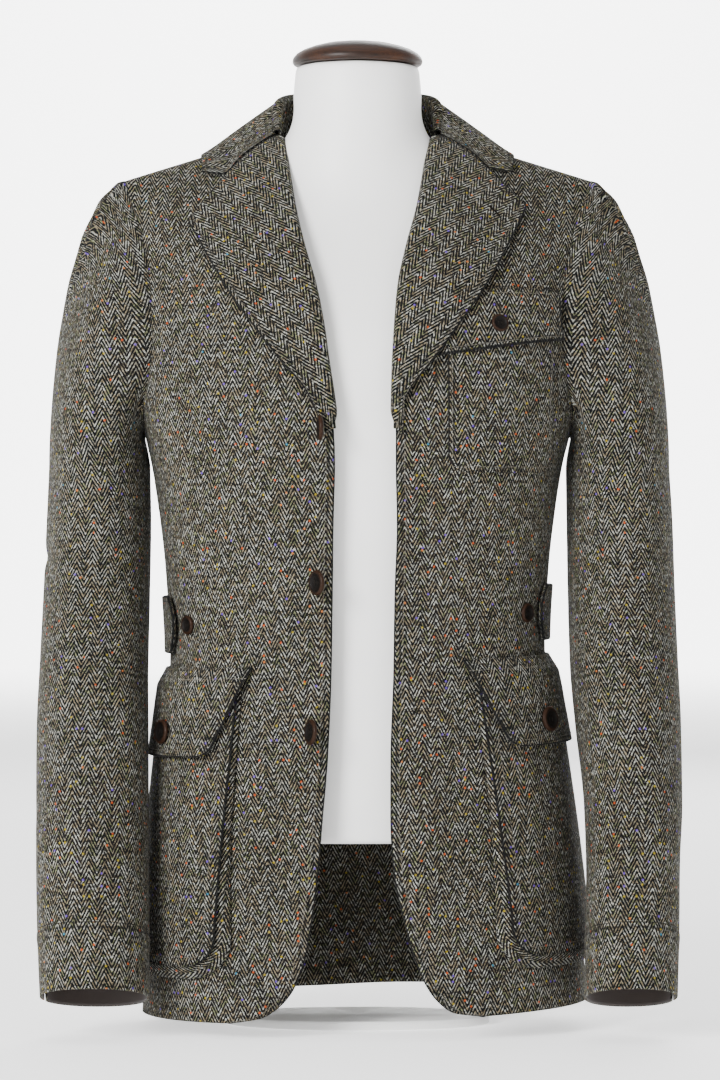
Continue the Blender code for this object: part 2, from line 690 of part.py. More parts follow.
def form_torso(group, cutters, finish):
    """Closed torso of rings up to the shoulder ridge, joined with a turned neck."""
    quarter = np.linspace(0, 1, 7)
    turns = np.concatenate([quarter, 2 - quarter[-2::-1]])
    turns = np.concatenate([turns, turns[-2:0:-1]])
    sides = np.concatenate([np.full(13, LEFT), np.full(11, RIGHT)])
    rises = [-380, -330, -258, -190, -110, -30, 50, 120, 180, 235, 280, 314, 338, RISE]
    bm = bmesh.new()
    loops = []
    for rise in rises:
        points = [form_point(int(s), np.array(t), np.array(float(rise))) for s, t in zip(sides, turns)]
        loops.append([bm.verts.new(p * MM) for p in points])
    for low, high in zip(loops, loops[1:]):
        for i in range(len(low)):
            bm.faces.new((low[i - 1], low[i], high[i], high[i - 1]))
    bm.faces.new(loops[0][::-1])
    bmesh.ops.remove_doubles(bm, verts=bm.verts, dist=1e-5)
    bmesh.ops.dissolve_degenerate(bm, dist=1e-6, edges=bm.edges)
    bmesh.ops.recalc_face_normals(bm, faces=bm.faces)
    mesh = bpy.data.meshes.new("form_torso")
    bm.to_mesh(mesh)
    bm.free()
    torso = add("form_torso", mesh, group, finish)
    neck = turned("form_neck_shape", NECK, 28, cutters, finish)
    neck.hide_render = True
    neck.display_type = "WIRE"
    join = torso.modifiers.new("Neck", "BOOLEAN")
    join.operation = "UNION"
    join.solver = "EXACT"
    join.object = neck
    return torso


def main():
    """Build the jacket and the form that it hangs on."""
    for old in list(bpy.data.objects):
        bpy.data.objects.remove(old, do_unlink=True)
    jacket = collection("safari_jacket_on_dress_form")
    cutters = collection("shapes_joined", cutters=True)
    tweed = (0.30, 0.28, 0.24)
    horn = (0.07, 0.045, 0.03)

    across = spread(12, 0.012)
    crest = np.array([0.3, 0.55, 0.75, 0.9, 0.97, 1.0])
    waist = np.array([0.35, 0.7])
    front_rows = np.concatenate([[0, 0.08], np.arange(1, 10), 9 + waist, np.arange(10, 23), 22 + crest])
    back_rows = np.concatenate([[0, 0.04], np.arange(1, 5), 4 + waist, np.arange(5, 18), 17 + crest])
    arms = np.concatenate([[0, 0.06], np.linspace(0.2, 1, 6), 1 + np.linspace(50, CUFF_FALL - 3, 7)])
    arms = np.concatenate([arms, [CUFF_FALL + 1 - 0.15]])
    cuffs = 1 + np.array([CUFF_FALL + 0.15, CUFF_FALL + 18, CUFF_FALL + 37, CUFF_END])
    ring = np.array([0, 0.02, 0.07, 0.15, 0.26, 0.4, 0.55, 0.7, 0.85, 0.98, 1.0])
    for side in (LEFT, RIGHT):
        name = SIDE_NAMES[side]
        label = f"front_{name}"
        sheet(label, front_grid(side, across, front_rows), CLOTH, jacket, material(label, tweed, 0.9))
        for half in ("top", "under"):
            label = f"sleeve_{name}_{half}"
            points = sleeve_grid(side, half == "under", ring if half == "top" else 1 - ring[::-1], arms)
            sheet(label, points, CLOTH, jacket, material(label, tweed, 0.9))
        label = f"cuff_{name}"
        sheet(label, cuff_grid(side, spread(19, 0.01), cuffs), CLOTH, jacket, material(label, tweed, 0.9))
        label = f"lapel_{name}"
        flat = np.concatenate([[-1, -0.66, -0.33], np.linspace(0, 1, 7)])
        points = lapel_grid(side, flat, np.linspace(0, 9, 15))
        sheet(label, points, CLOTH, jacket, material(label, tweed, 0.9))
        label = f"pocket_{name}"
        down = np.concatenate([np.linspace(0, 0.88, 7), [0.93, 0.97, 0.99, 1.0]])
        points = pocket_grid(side, np.linspace(0, 1, 11), down)
        sheet(label, points, CLOTH, jacket, material(label, tweed, 0.9))
        label = f"gusset_{name}"
        points = gusset_grid(side, np.linspace(0, 1, 31), np.linspace(0, 1, 3))
        sheet(label, points, CLOTH, jacket, material(label, tweed, 0.9))
        label = f"flap_{name}"
        down = np.array([0, 0.12, 0.25, 0.45, 0.66, 0.88, 0.94, 0.98, 1.0])
        points = flap_grid(side, np.linspace(0, 1, 11), down)
        sheet(label, points, CLOTH, jacket, material(label, tweed, 0.9))

    points = back_grid(2 * spread(16, 0.006) - 1, back_rows)
    sheet("back", points, CLOTH, jacket, material("back", tweed, 0.9))
    fold = np.concatenate([[-1, -0.5], np.linspace(0, 1, 4), 1 + np.linspace(0.2, 1, 5)])
    sheet("collar", collar_grid(fold, np.linspace(0, 5, 13)), CLOTH, jacket, material("collar", tweed, 0.9))
    down = np.concatenate([np.linspace(0, 0.88, 7), [0.93, 0.97, 0.99, 1.0]])
    patch = chest_pocket_grid(np.linspace(0, 1, 9), down)
    sheet("chest_pocket", patch, CLOTH, jacket, material("chest_pocket", tweed, 0.9))
    points = chest_flap_grid(np.linspace(0, 1, 9), np.linspace(0, 1, 6))
    sheet("chest_flap", points, CLOTH, jacket, material("chest_flap", tweed, 0.9))
    points = belt_grid(np.linspace(-1, 1, 41), np.linspace(0, 1, 4))
    sheet("back_belt", points, BELT_CLOTH, jacket, material("back_belt", tweed, 0.9))

    for label, x, z, yaw, lift in FRONT_BUTTONS:
        turn, rise = place(RIGHT, x, z)
        name = f"front_button_{label}"
        button(name, "front", RIGHT, turn, rise, lift, yaw, jacket, material(name, horn, 0.4))
    turn, rise = place(LEFT, CHEST_BUTTON["x"], CHEST_BUTTON["z"])
    finish = material("chest_button", horn, 0.4)
    button("chest_button", "chest", LEFT, turn, rise, CHEST_BUTTON["lift"], 0, jacket, finish)
    for side in (LEFT, RIGHT):
        name = SIDE_NAMES[side]
        label = f"flap_button_{name}"
        turn, rise, lift = FLAP_BUTTONS[side]
        button(label, "flap", side, turn, rise, lift, 0, jacket, material(label, horn, 0.4))
        label = f"belt_button_{name}"
        button(label, "belt", side, BELT["button"], BELT["level"], 0.8, 0, jacket, material(label, horn, 0.4))

    form_torso(jacket, cutters, material("form_torso", (0.82, 0.81, 0.78), 0.6))
    turned("form_cap", CAP, 24, jacket, material("form_cap", (0.2, 0.09, 0.04), 0.3))
    oval = Matrix.Diagonal((1, BASE_DEPTH, 1, 1))
    turned("form_base", BASE, 32, jacket, material("form_base", (0.85, 0.85, 0.84), 0.4), oval)
    for side in (LEFT, RIGHT):
        label = f"form_leg_{SIDE_NAMES[side]}"
        leg = [(0, 8.3), (LEG_RADIUS, 8.3), (LEG_RADIUS, 164.7), (0, 164.7)]
        where = Matrix.Translation((side * LEG_X * MM, 0, 0))
        turned(label, leg, 16, jacket, material(label, (0.8, 0.8, 0.8), 0.35), where)


main()
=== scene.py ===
"""Looks of the safari jacket of herringbone tweed on its dress form.

Tables are in millimetres, meshes in metres. +Z is up, the front faces -Y and +X is the wearer's left. The
cloth lies on one body surface: 'turn' runs from 0 at the centre front over 1 at the side to 2 at the centre
back, 'rise' is the height over the chest line up to the shoulder ridge, and 'lift' the distance out from it.
"""

from __future__ import annotations

import logging
import math
from collections.abc import Callable, Iterable
from dataclasses import dataclass, field
from enum import Enum

import bmesh
import bpy
import numpy as np
from mathutils import Matrix, Vector

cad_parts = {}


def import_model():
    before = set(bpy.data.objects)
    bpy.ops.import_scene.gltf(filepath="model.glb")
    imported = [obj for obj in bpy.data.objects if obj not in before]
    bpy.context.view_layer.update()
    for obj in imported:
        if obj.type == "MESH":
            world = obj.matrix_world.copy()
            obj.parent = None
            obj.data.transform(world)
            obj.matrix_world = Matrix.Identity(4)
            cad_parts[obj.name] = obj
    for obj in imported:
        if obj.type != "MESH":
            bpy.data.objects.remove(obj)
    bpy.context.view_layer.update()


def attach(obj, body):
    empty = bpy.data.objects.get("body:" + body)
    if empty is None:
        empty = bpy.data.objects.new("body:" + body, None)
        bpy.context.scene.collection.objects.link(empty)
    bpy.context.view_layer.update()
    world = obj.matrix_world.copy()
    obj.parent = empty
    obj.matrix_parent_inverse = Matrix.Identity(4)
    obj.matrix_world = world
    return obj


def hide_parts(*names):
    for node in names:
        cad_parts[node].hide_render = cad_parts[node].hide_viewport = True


LOG = logging.getLogger("jacket")
MM = 0.001
CLOTH = 2.0
LAP = CLOTH + 0.9
THREAD_STEP = 1.15
SLEEVE_AXIS = 229.0
UP = np.array([0.0, 0.0, 1.0])
Array = np.ndarray
Triple = tuple[float, float, float]
Colour = Triple
Table = dict[str, Array]
Sizes = dict[str, float]
Material = bpy.types.Material
Pair = tuple[Array, Array]
Places = tuple[Array, Array, Array]


class Side(Enum):
    """Side of the wearer, with the sign of its X."""

    LEFT = 1
    RIGHT = -1

    @property
    def label(self) -> str:
        """Lower-case name used in node names."""
        return self.name.lower()


class Half(Enum):
    """The two pieces of a sleeve."""

    TOP = "top"
    UNDER = "under"


class Inside(Enum):
    """What the inner face of a piece shows."""

    TWEED = 0
    LINING = 1


def sections(names: str, *rows: tuple[float, ...]) -> Table:
    """Dataclass field that holds a section table: column names, then a row for each section."""
    return field(default_factory=lambda: dict(zip(names.split(), np.array(rows, float).T)))


def sizes(**values: float) -> Sizes:
    """Dataclass field that holds named sizes."""
    return field(default_factory=lambda: dict(values))


def smooth(keys: Iterable[float], values: Iterable[float], at: Array | float) -> Array:
    """Monotone cubic through keys and values.

    Args:
        keys: Rising places.
        values: Value at each place.
        at: Places to read.

    Returns:
        Values at the places read.
    """
    keys, values = np.asarray(keys, float), np.asarray(values, float)
    at = np.clip(at, keys[0], keys[-1])
    step = np.diff(keys)
    slope = np.diff(values) / step
    tangent = np.concatenate([slope[:1], np.zeros(len(slope) - 1), slope[-1:]])
    same = slope[:-1] * slope[1:] > 0
    tangent[1:-1][same] = 2 * slope[:-1][same] * slope[1:][same] / (slope[:-1][same] + slope[1:][same])
    i = np.clip(np.searchsorted(keys, at, side="right") - 1, 0, len(step) - 1)
    t = (at - keys[i]) / step[i]
    ends = values[i] * (1 + 2 * t) * (1 - t) ** 2 + values[i + 1] * t * t * (3 - 2 * t)
    return ends + step[i] * t * (1 - t) * (tangent[i] * (1 - t) - tangent[i + 1] * t)


def column(shape: Table, name: str, at: Array | float) -> Array:
    """A column of a section table, read against the table's first column."""
    return smooth(next(iter(shape.values())), shape[name], at)


def row(shape: Table, name: str, at: Array | float) -> Array:
    """A column of a section table, read against the row number."""
    return smooth(np.arange(len(shape[name])), shape[name], at)


def spread(low: Array, high: Array, share: Array) -> Array:
    """Values from one edge to the other across each row."""
    return low[:, None] + (high - low)[:, None] * share


def refine(stops: int, parts: int) -> Array:
    """Row numbers with each step between them cut into equal parts."""
    return np.arange((stops - 1) * parts + 1) / parts


def unit(vectors: Array) -> Array:
    """Vectors brought to length one."""
    return vectors / np.maximum(np.linalg.norm(vectors, axis=-1, keepdims=True), 1e-9)


def oval(angle: Array, power: float) -> Pair:
    """Sine and cosine of an outline between a circle, at a power of 2, and a square."""
    both = np.stack([np.sin(angle), np.cos(angle)])
    return tuple(both / (np.abs(both) ** power).sum(axis=0) ** (1 / power))


def paired(first: Array | float, second: Array | float) -> Pair:
    """Two arrays brought to one shape."""
    return np.broadcast_arrays(np.asarray(first, float), np.asarray(second, float))


def crease(x: Array, z: Array, line: Iterable[float], width: float) -> Array:
    """Share of a soft fold's depth beside the line that it follows.

    Args:
        x: Places across.
        z: Places along.
        line: Both ends of the fold, as x, z, x and z.
        width: How far the fold reaches to each side.

    Returns:
        1 on the line, less beside it and past its ends.
    """
    x0, z0, x1, z1 = line
    length = math.hypot(x1 - x0, z1 - z0)
    ax, az = (x1 - x0) / length, (z1 - z0) / length
    along = (x - x0) * ax + (z - z0) * az
    aside = (x - x0) * az - (z - z0) * ax
    fade = 0.3 * length
    ends = np.clip((along + fade / 2) / fade, 0, 1) * np.clip((length + fade / 2 - along) / fade, 0, 1)
    return np.exp(-((aside / width) ** 2)) * ends**2 * (3 - 2 * ends)


def rounded(over: Array, corner: float) -> Array:
    """How far a rounded lower corner draws in the edge, at heights over the bottom."""
    near = np.clip(corner - over, 0, corner)
    return corner - np.sqrt(corner**2 - near**2)


def lengths(points: Array, axis: int, zero: int = 0) -> Array:
    """Running length along one direction of a grid of points.

    Args:
        points: Grid of points.
        axis: Direction, 0 down the rows or 1 across them.
        zero: Index on that direction where the length is nought.

    Returns:
        Length at each point of the grid.
    """
    steps = np.linalg.norm(np.diff(points, axis=axis), axis=-1)
    start = np.zeros_like(np.take(steps, [0], axis=axis))
    run = np.concatenate([start, np.cumsum(steps, axis=axis)], axis=axis)
    return run - np.take(run, [zero], axis=axis)


def flatten(points: Array, uv: Array, rounds: int, carry: float = 0.9) -> Array:
    """Lay a piece flat as its maker cut it, so that every step of the grid keeps its length.

    Args:
        points: Grid of points, in millimetres.
        uv: First guess of the flat places, in metres.
        rounds: How often the steps are eased.
        carry: Share of the last round's motion that goes on.

    Returns:
        Flat places, in metres.
    """
    pairs = [(np.s_[:-1, :], np.s_[1:, :]), (np.s_[:, :-1], np.s_[:, 1:])]
    pairs += [(np.s_[:-1, :-1], np.s_[1:, 1:]), (np.s_[:-1, 1:], np.s_[1:, :-1])]
    rest = [np.linalg.norm(points[b] - points[a], axis=-1) * MM for a, b in pairs]
    flat = uv.astype(float).copy()
    drift = np.zeros_like(flat)
    for _ in range(rounds):
        push = np.zeros_like(flat)
        share = np.zeros(flat.shape[:2])
        for (a, b), length in zip(pairs, rest):
            step = flat[b] - flat[a]
            size = np.maximum(np.linalg.norm(step, axis=-1), 1e-9)
            move = step * ((size - length) / size * 0.5)[..., None]
            push[a] += move
            push[b] -= move
            share[a] += 1
            share[b] += 1
        drift = carry * drift + push / share[..., None]
        flat += drift
    return flat


def placed(name: str, data: bpy.types.ID) -> bpy.types.Object:
    """Add an object to the scene.

    Args:
        name: Its name.
        data: Its mesh, lamp or camera.

    Returns:
        The object.
    """
    thing = bpy.data.objects.new(name, data)
    bpy.context.scene.collection.objects.link(thing)
    return thing


def settle(mesh: bpy.types.Mesh, node: str = "") -> bpy.types.Object:
    """Set a finished piece on the body, in place of its CAD node where it has one.

    Args:
        mesh: Mesh of the piece, with the piece's name.
        node: CAD node that the piece replaces.

    Returns:
        The piece.
    """
    thing = placed(mesh.name, mesh)
    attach(thing, "root")
    if node:
        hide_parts(node)
    LOG.info("%s: %d faces", thing.name, len(mesh.polygons))
    return thing


def evaluated(thing: bpy.types.Object, name: str) -> bpy.types.Mesh:
    """Turn an object with modifiers into a plain mesh, and remove the object.

    Args:
        thing: Object with its modifiers.
        name: Name of the new mesh.

    Returns:
        The mesh with the modifiers applied.
    """
    bpy.context.view_layer.update()
    mesh = bpy.data.meshes.new_from_object(thing.evaluated_get(bpy.context.evaluated_depsgraph_get()))
    bpy.data.objects.remove(thing)
    mesh.name = name
    return mesh


def revolve(
    bm: bmesh.types.BMesh, profile: Iterable[tuple[float, float]], steps: int, where: Matrix
) -> list[list[bmesh.types.BMVert]]:
    """Add a solid of revolution to a mesh.

    Args:
        bm: Mesh to add to.
        profile: Radius and height down the section, from the axis to the axis.
        steps: Faces round it.
        where: Placement.

    Returns:
        Vertices of each ring.
    """
    rings = []
    for r, z in profile:
        angles = np.arange(1 if r == 0 else steps) * math.tau / steps
        rings.append([bm.verts.new(where @ Vector((r * math.cos(a), r * math.sin(a), z))) for a in angles])
    for low, high in zip(rings, rings[1:]):
        for i in range(steps):
            j = (i + 1) % steps
            quad = [low[i % len(low)], low[j % len(low)], high[j % len(high)], high[i % len(high)]]
            bm.faces.new(list(dict.fromkeys(quad)))
    return rings


def closed(bm: bmesh.types.BMesh, name: str) -> bpy.types.Mesh:
    """Bring a finished mesh from millimetres to metres and keep it.

    Args:
        bm: The mesh.
        name: Name to keep it by.

    Returns:
        The mesh in metres.
    """
    bmesh.ops.transform(bm, matrix=Matrix.Scale(MM, 4), verts=bm.verts)
    mesh = bpy.data.meshes.new(name)
    bm.to_mesh(mesh)
    bm.free()
    return mesh


class Socket:
    """Value of a shader tree that takes part in Python expressions."""

    def __init__(self, graph: Graph, source: bpy.types.NodeSocket) -> None:
        """Wrap an output socket of a graph."""
        self.graph = graph
        self.source = source

    def _math(self, operation: str, first: Socket | float, second: Socket | float) -> Socket:
        """Math node on two values."""
        return self.graph.value("Math", {"operation": operation}, {0: first, 1: second})

    def __add__(self, other: Socket | float) -> Socket:
        """Sum."""
        return self._math("ADD", self, other)

    __radd__ = __add__

    def __sub__(self, other: Socket | float) -> Socket:
        """Difference."""
        return self._math("SUBTRACT", self, other)

    def __rsub__(self, other: Socket | float) -> Socket:
        """Difference from a number."""
        return self._math("SUBTRACT", other, self)

    def __mul__(self, other: Socket | float) -> Socket:
        """Product."""
        return self._math("MULTIPLY", self, other)

    def __lt__(self, other: Socket | float) -> Socket:
        """1 where this value is the lesser one."""
        return self._math("LESS_THAN", self, other)

    def pingpong(self, scale: float) -> Socket:
        """Triangle wave between 0 and the scale."""
        return self._math("PINGPONG", self, scale)

    def size(self) -> Socket:
        """Value without its sign."""
        return self._math("ABSOLUTE", self, 0.0)

    def sine(self) -> Socket:
        """Sine."""
        return self._math("SINE", self, 0.0)

    def ramp(self, low: float, high: float) -> Socket:
        """Soft step from 0 at low to 1 at high."""
        settings = {"interpolation_type": "SMOOTHSTEP", "clamp": True}
        return self.graph.value("MapRange", settings, {0: self, 1: low, 2: high, 3: 0.0, 4: 1.0})


class Graph:
    """Node tree of one material."""

    def __init__(self, name: str) -> None:
        """Start an empty material.

        Args:
            name: Its name.
        """
        self.material = bpy.data.materials.new(name)
        self.material.use_nodes = True
        self.tree = self.material.node_tree
        self.tree.nodes.clear()

    def node(self, kind: str, settings: dict | None = None, inputs: dict | None = None) -> bpy.types.Node:
        """Add a node.

        Args:
            kind: Blender's shader node type, without its prefix.
            settings: Properties, set first.
            inputs: Values or links by socket name or number.

        Returns:
            The node.
        """
        made = self.tree.nodes.new("ShaderNode" + kind)
        for name, value in (settings or {}).items():
            setattr(made, name, value)
        for key, value in (inputs or {}).items():
            if isinstance(value, Socket):
                self.tree.links.new(value.source, made.inputs[key])
            elif isinstance(value, tuple) and len(value) == 3 and made.inputs[key].type == "RGBA":
                made.inputs[key].default_value = (*value, 1.0)
            else:
                made.inputs[key].default_value = value
        return made

    def value(
        self, kind: str, settings: dict | None = None, inputs: dict | None = None, output: int = 0
    ) -> Socket:
        """Add a node and wrap one of its outputs."""
        return Socket(self, self.node(kind, settings, inputs).outputs[output])

    def cloth_place(self) -> Socket:
        """Place on the flat cloth, in metres."""
        return self.value("UVMap", {"uv_map": "cloth"})

    def object_place(self) -> Socket:
        """Place on the object, in metres."""
        return self.value("TexCoord", {}, {}, 3)

    def attribute(self, name: str) -> Socket:
        """Number that the mesh holds at each vertex."""
        return self.value("Attribute", {"attribute_name": name}, {}, 2)

    def mix(
        self, share: Socket | float, first: Socket | Colour, second: Socket | Colour, blend: str = "MIX"
    ) -> Socket:
        """Colour between two colours."""
        settings = {"data_type": "RGBA", "blend_type": blend}
        return self.value("Mix", settings, {0: share, 6: first, 7: second}, 2)

    def noise(self, place: Socket, scale: float, detail: float = 2.0, rough: float = 0.5) -> Socket:
        """Noise value from 0 to 1."""
        inputs = {"Vector": place, "Scale": scale, "Detail": detail, "Roughness": rough}
        return self.value("TexNoise", {}, inputs)

    def stretched(self, place: Socket, scale: Triple) -> Socket:
        """Coordinates scaled along each axis."""
        return self.value("Mapping", {}, {"Vector": place, "Scale": scale})

    def cells(self, place: Socket, scale: float) -> tuple[Socket, Socket, Socket]:
        """Cells of a flat pattern.

        Args:
            place: Coordinates.
            scale: Cells to a metre.

        Returns:
            Distance from the cell's middle and two random values of the cell.
        """
        inputs = {"Vector": place, "Scale": scale}
        cell = self.node("TexVoronoi", {"voronoi_dimensions": "2D"}, inputs)
        lots = self.node("SeparateColor", {}, {0: Socket(self, cell.outputs[1])})
        return Socket(self, cell.outputs[0]), Socket(self, lots.outputs[0]), Socket(self, lots.outputs[1])

    def stepped(self, share: Socket, stops: tuple[tuple[float, Colour], ...]) -> Socket:
        """Colour that changes in steps.

        Args:
            share: Value from 0 to 1.
            stops: Where each colour starts.

        Returns:
            The colour.
        """
        steps = self.node("ValToRGB", {}, {0: share})
        steps.color_ramp.interpolation = "CONSTANT"
        elements = steps.color_ramp.elements
        while len(elements) < len(stops):
            elements.new(0.5)
        for element, (at, colour) in zip(elements, stops):
            element.position = at
            element.color = (*colour, 1.0)
        return Socket(self, steps.outputs[0])

    def done(
        self,
        colour: Socket | Colour,
        rough: Socket | float,
        bump: tuple[Socket, float] | None,
        **fixed: float,
    ) -> Material:
        """Close the tree with a Principled shader.

        Args:
            colour: Base colour.
            rough: Roughness.
            bump: Height and how deep it is, in metres.
            fixed: Further sockets that are the same all over, with _ for a blank.

        Returns:
            The material.
        """
        inputs: dict = {"Base Color": colour, "Roughness": rough}
        for name, value in fixed.items():
            inputs[name.replace("_", " ").title().replace("Ior", "IOR")] = value
        if bump:
            relief = {"Strength": 0.6, "Distance": bump[1], "Height": bump[0]}
            inputs["Normal"] = self.value("Bump", {}, relief)
        shader = self.node("BsdfPrincipled", {}, inputs)
        out = self.node("OutputMaterial")
        self.tree.links.new(shader.outputs[0], out.inputs[0])
        return self.material


@dataclass(frozen=True)
class Tweed:
    """Herringbone tweed with flecks, woven along the cloth's own UV map in metres."""

    name: str
    # below 1 the whole cloth is darkened: painted shade for the jacket's inner faces
    shade: float = 1.0
    cream: Colour = (0.238, 0.239, 0.212)
    tan: Colour = (0.136, 0.112, 0.071)
    moss: Colour = (0.114, 0.119, 0.064)
    charcoal: Colour = (0.0034, 0.0036, 0.0039)
    brown: Colour = (0.0095, 0.0088, 0.0078)
    flecks: tuple[tuple[float, Colour], ...] = (
        (0.0, (0.36, 0.055, 0.01)), (0.28, (0.10, 0.045, 0.32)), (0.52, (0.25, 0.19, 0.01)),
        (0.88, (0.40, 0.12, 0.03)), (0.97, (0.03, 0.16, 0.25)),
    )
    column: float = 0.0067
    pitch: float = 0.0053
    slope: float = 2.0
    groove: float = 0.0046
    slubs: float = 690.0
    dyed_tufts: float = 330.0
    fleck_cells: float = 200.0
    moss_share: float = 0.14
    fleck_share: float = 0.10

    def material(self) -> Material:
        """Weave cream and charcoal chevrons with yarn grain and coloured flecks, with painted shadow along
        sewn edges and painted shade in the stitched trough.

        Returns:
            The material.
        """
        g = Graph(self.name)
        place = g.cloth_place()
        parts = g.node("SeparateXYZ", {}, {0: place})
        across, along = Socket(g, parts.outputs[0]), Socket(g, parts.outputs[1])
        wave = g.noise(place, 260.0) - 0.5
        yarn = g.noise(place, 820.0, 3.0, 0.75)
        _, slub, tone = g.cells(place, self.slubs)
        zigzag = (across + wave * 0.0006).pingpong(self.column)
        twill = ((along + wave * 0.0005 + zigzag * self.slope) * (2 * math.pi / self.pitch)).sine()
        _, dyed, mossy = g.cells(place, self.dyed_tufts)
        light = (twill + (slub - 0.5) * 1.2 + (yarn - 0.5) * 2.0).ramp(0.1, 0.8)
        mixed = g.mix(dyed.ramp(0.2, 0.85), self.cream, self.tan)
        pale = g.mix(1.0, g.mix(mossy < self.moss_share, mixed, self.moss), tone * 1.2 + 0.4, "MULTIPLY")
        dark = g.mix(g.noise(place, 210.0).ramp(0.42, 0.7), self.charcoal, self.brown)
        woven = g.mix(light, dark, pale)
        far, lot, kind = g.cells(place, self.fleck_cells)
        fleck = (1.0 - far.ramp(0.10, 0.27)) * (lot < self.fleck_share)
        flecked = g.mix(fleck * 0.9, woven, g.stepped(kind, self.flecks))
        cloud = g.noise(place, 16.0, 3.0).ramp(0.3, 0.72)
        clouded = g.mix(1.0, flecked, g.mix(cloud, (0.84 * self.shade,) * 3, (self.shade,) * 3), "MULTIPLY")
        # painted shade: the cloth darkens towards charcoal in the trough of the stitched row; the same mask
        # sinks the trough in the bump
        trough_and_shade = 1.0 - (g.attribute("edge") - self.groove).size().ramp(0.0003, 0.0014)
        # painted shadow: a dark line along each free edge, mixed towards charcoal, standing in for the shade
        # an overlying edge casts
        rim = g.attribute("rim").ramp(0.0, 0.55)
        colour = g.mix(trough_and_shade * 0.55 + rim * 0.93, clouded, self.charcoal)
        height = light * 0.55 + yarn * 0.6 - trough_and_shade * 1.1
        nap = {"sheen_weight": 0.03, "sheen_roughness": 0.5, "specular_ior_level": 0.08}
        return g.done(colour, 0.93, (height, 0.0009), **nap)


@dataclass(frozen=True)
class Lining:
    """Dark brown satin lining inside the sleeves."""

    name: str
    dark: Colour = (0.018, 0.012, 0.010)
    pale: Colour = (0.034, 0.022, 0.017)

    def material(self) -> Material:
        """Weave a fine twill with a dull shine.

        Returns:
            The material.
        """
        g = Graph(self.name)
        twill = g.noise(g.stretched(g.cloth_place(), (900.0, 2400.0, 1.0)), 1.0, 2.0)
        return g.done(g.mix(twill, self.dark, self.pale), 0.5, (twill, 0.0002), sheen_weight=0.1)


@dataclass(frozen=True)
class Horn:
    """Dark brown horn of the buttons, paler and smoother on the rim."""

    name: str
    dark: Colour = (0.0048, 0.0039, 0.0034)
    warm: Colour = (0.021, 0.0100, 0.0056)

    def material(self) -> Material:
        """Streak the horn, warmer where the button's rim attribute is 1.

        Returns:
            The material.
        """
        g = Graph(self.name)
        streak = g.noise(g.stretched(g.object_place(), (160.0, 160.0, 620.0)), 1.0, 4.0, 0.6)
        warmth = (g.attribute("rim") * 0.85 + (streak - 0.5) * 1.1).ramp(0.15, 1.0)
        colour = g.mix(warmth, self.dark, self.warm)
        gloss = {"coat_weight": 0.02, "coat_roughness": 0.2, "specular_ior_level": 0.07}
        return g.done(colour, 0.5 - warmth * 0.1, (streak, 0.0002), **gloss)


@dataclass(frozen=True)
class Yarn:
    """Sewing thread."""

    name: str
    colour: Colour = (0.06, 0.055, 0.046)
    pale_share: float = 2.6

    def material(self) -> Material:
        """Twist dark and pale fibres.

        Returns:
            The material.
        """
        g = Graph(self.name)
        twist = g.noise(g.object_place(), 1800.0, 2.0)
        colour = g.mix(twist, self.colour, tuple(min(1.0, c * self.pale_share) for c in self.colour))
        return g.done(colour, 0.75, (twist, 0.0002), specular_ior_level=0.1)


@dataclass(frozen=True)
class FormCover:
    """Off-white smooth cover of the dress form."""

    name: str
    colour: Colour = (0.91, 0.905, 0.89)
    cloud_share: float = 0.955

    def material(self) -> Material:
        """Lay a satin cover with a faint grain.

        Returns:
            The material.
        """
        g = Graph(self.name)
        place = g.object_place()
        cloud = g.noise(place, 9.0, 3.0)
        grain = g.noise(place, 700.0, 2.0)
        colour = g.mix(cloud.ramp(0.3, 0.75), self.colour, tuple(c * self.cloud_share for c in self.colour))
        return g.done(colour, 0.42 + grain * 0.1, (grain, 0.00008))


@dataclass(frozen=True)
class Varnish:
    """Dark varnished wood of the neck cap."""

    name: str
    dark: Colour = (0.0065, 0.0036, 0.0026)
    warm: Colour = (0.045, 0.0175, 0.0082)

    def material(self) -> Material:
        """Draw a long fine grain under a coat.

        Returns:
            The material.
        """
        g = Graph(self.name)
        place = g.object_place()
        bands = g.noise(g.stretched(place, (5.0, 60.0, 130.0)), 1.0, 4.0, 0.6)
        pores = g.noise(g.stretched(place, (45.0, 700.0, 900.0)), 1.0, 3.0, 0.7)
        colour = g.mix((bands * 0.75 + pores * 0.5).ramp(0.42, 0.86), self.dark, self.warm)
        gloss = {"coat_weight": 0.03, "coat_roughness": 0.25, "specular_ior_level": 0.22}
        return g.done(colour, 0.36 + pores * 0.15, (pores, 0.0001), **gloss)


@dataclass(frozen=True)
class Paint:
    """White satin paint of the stand."""

    name: str
    colour: Colour = (0.84, 0.84, 0.83)
    peel_share: float = 0.97

    def material(self) -> Material:
        """Spray the paint with a faint orange-peel surface.

        Returns:
            The material.
        """
        g = Graph(self.name)
        peel = g.noise(g.object_place(), 420.0, 2.0)
        colour = g.mix(peel, self.colour, tuple(c * self.peel_share for c in self.colour))
        return g.done(colour, 0.4, (peel, 0.00006))


@dataclass(frozen=True)
class Finishes:
    """Materials of all pieces, made once."""

    tweed: Material
    shaded_tweed: Material
    lining: Material
    horn: Material
    thread: Material
    button_thread: Material
    button_holes: Material
    cover: Material
    wood: Material
    paint: Material

    @classmethod
    def make(cls) -> Finishes:
        """Build every material.

        Returns:
            The materials.
        """
        finishes = (
            # tweed_inside is the tweed darkened by painted shade, for the inner faces of the jacket
            Tweed("tweed"), Tweed("tweed_inside", shade=0.8), Lining("lining"), Horn("horn"),
            Yarn("thread_dark"),
            Yarn("thread_brown", (0.006, 0.0045, 0.0036)),
            # near-black: painted shade that stands for the button holes
            Yarn("button_holes", (0.0008, 0.0007, 0.0006)),
            FormCover("form_cover"), Varnish("cap_wood"), Paint("stand_paint"),
        )
        return cls(*(finish.material() for finish in finishes))


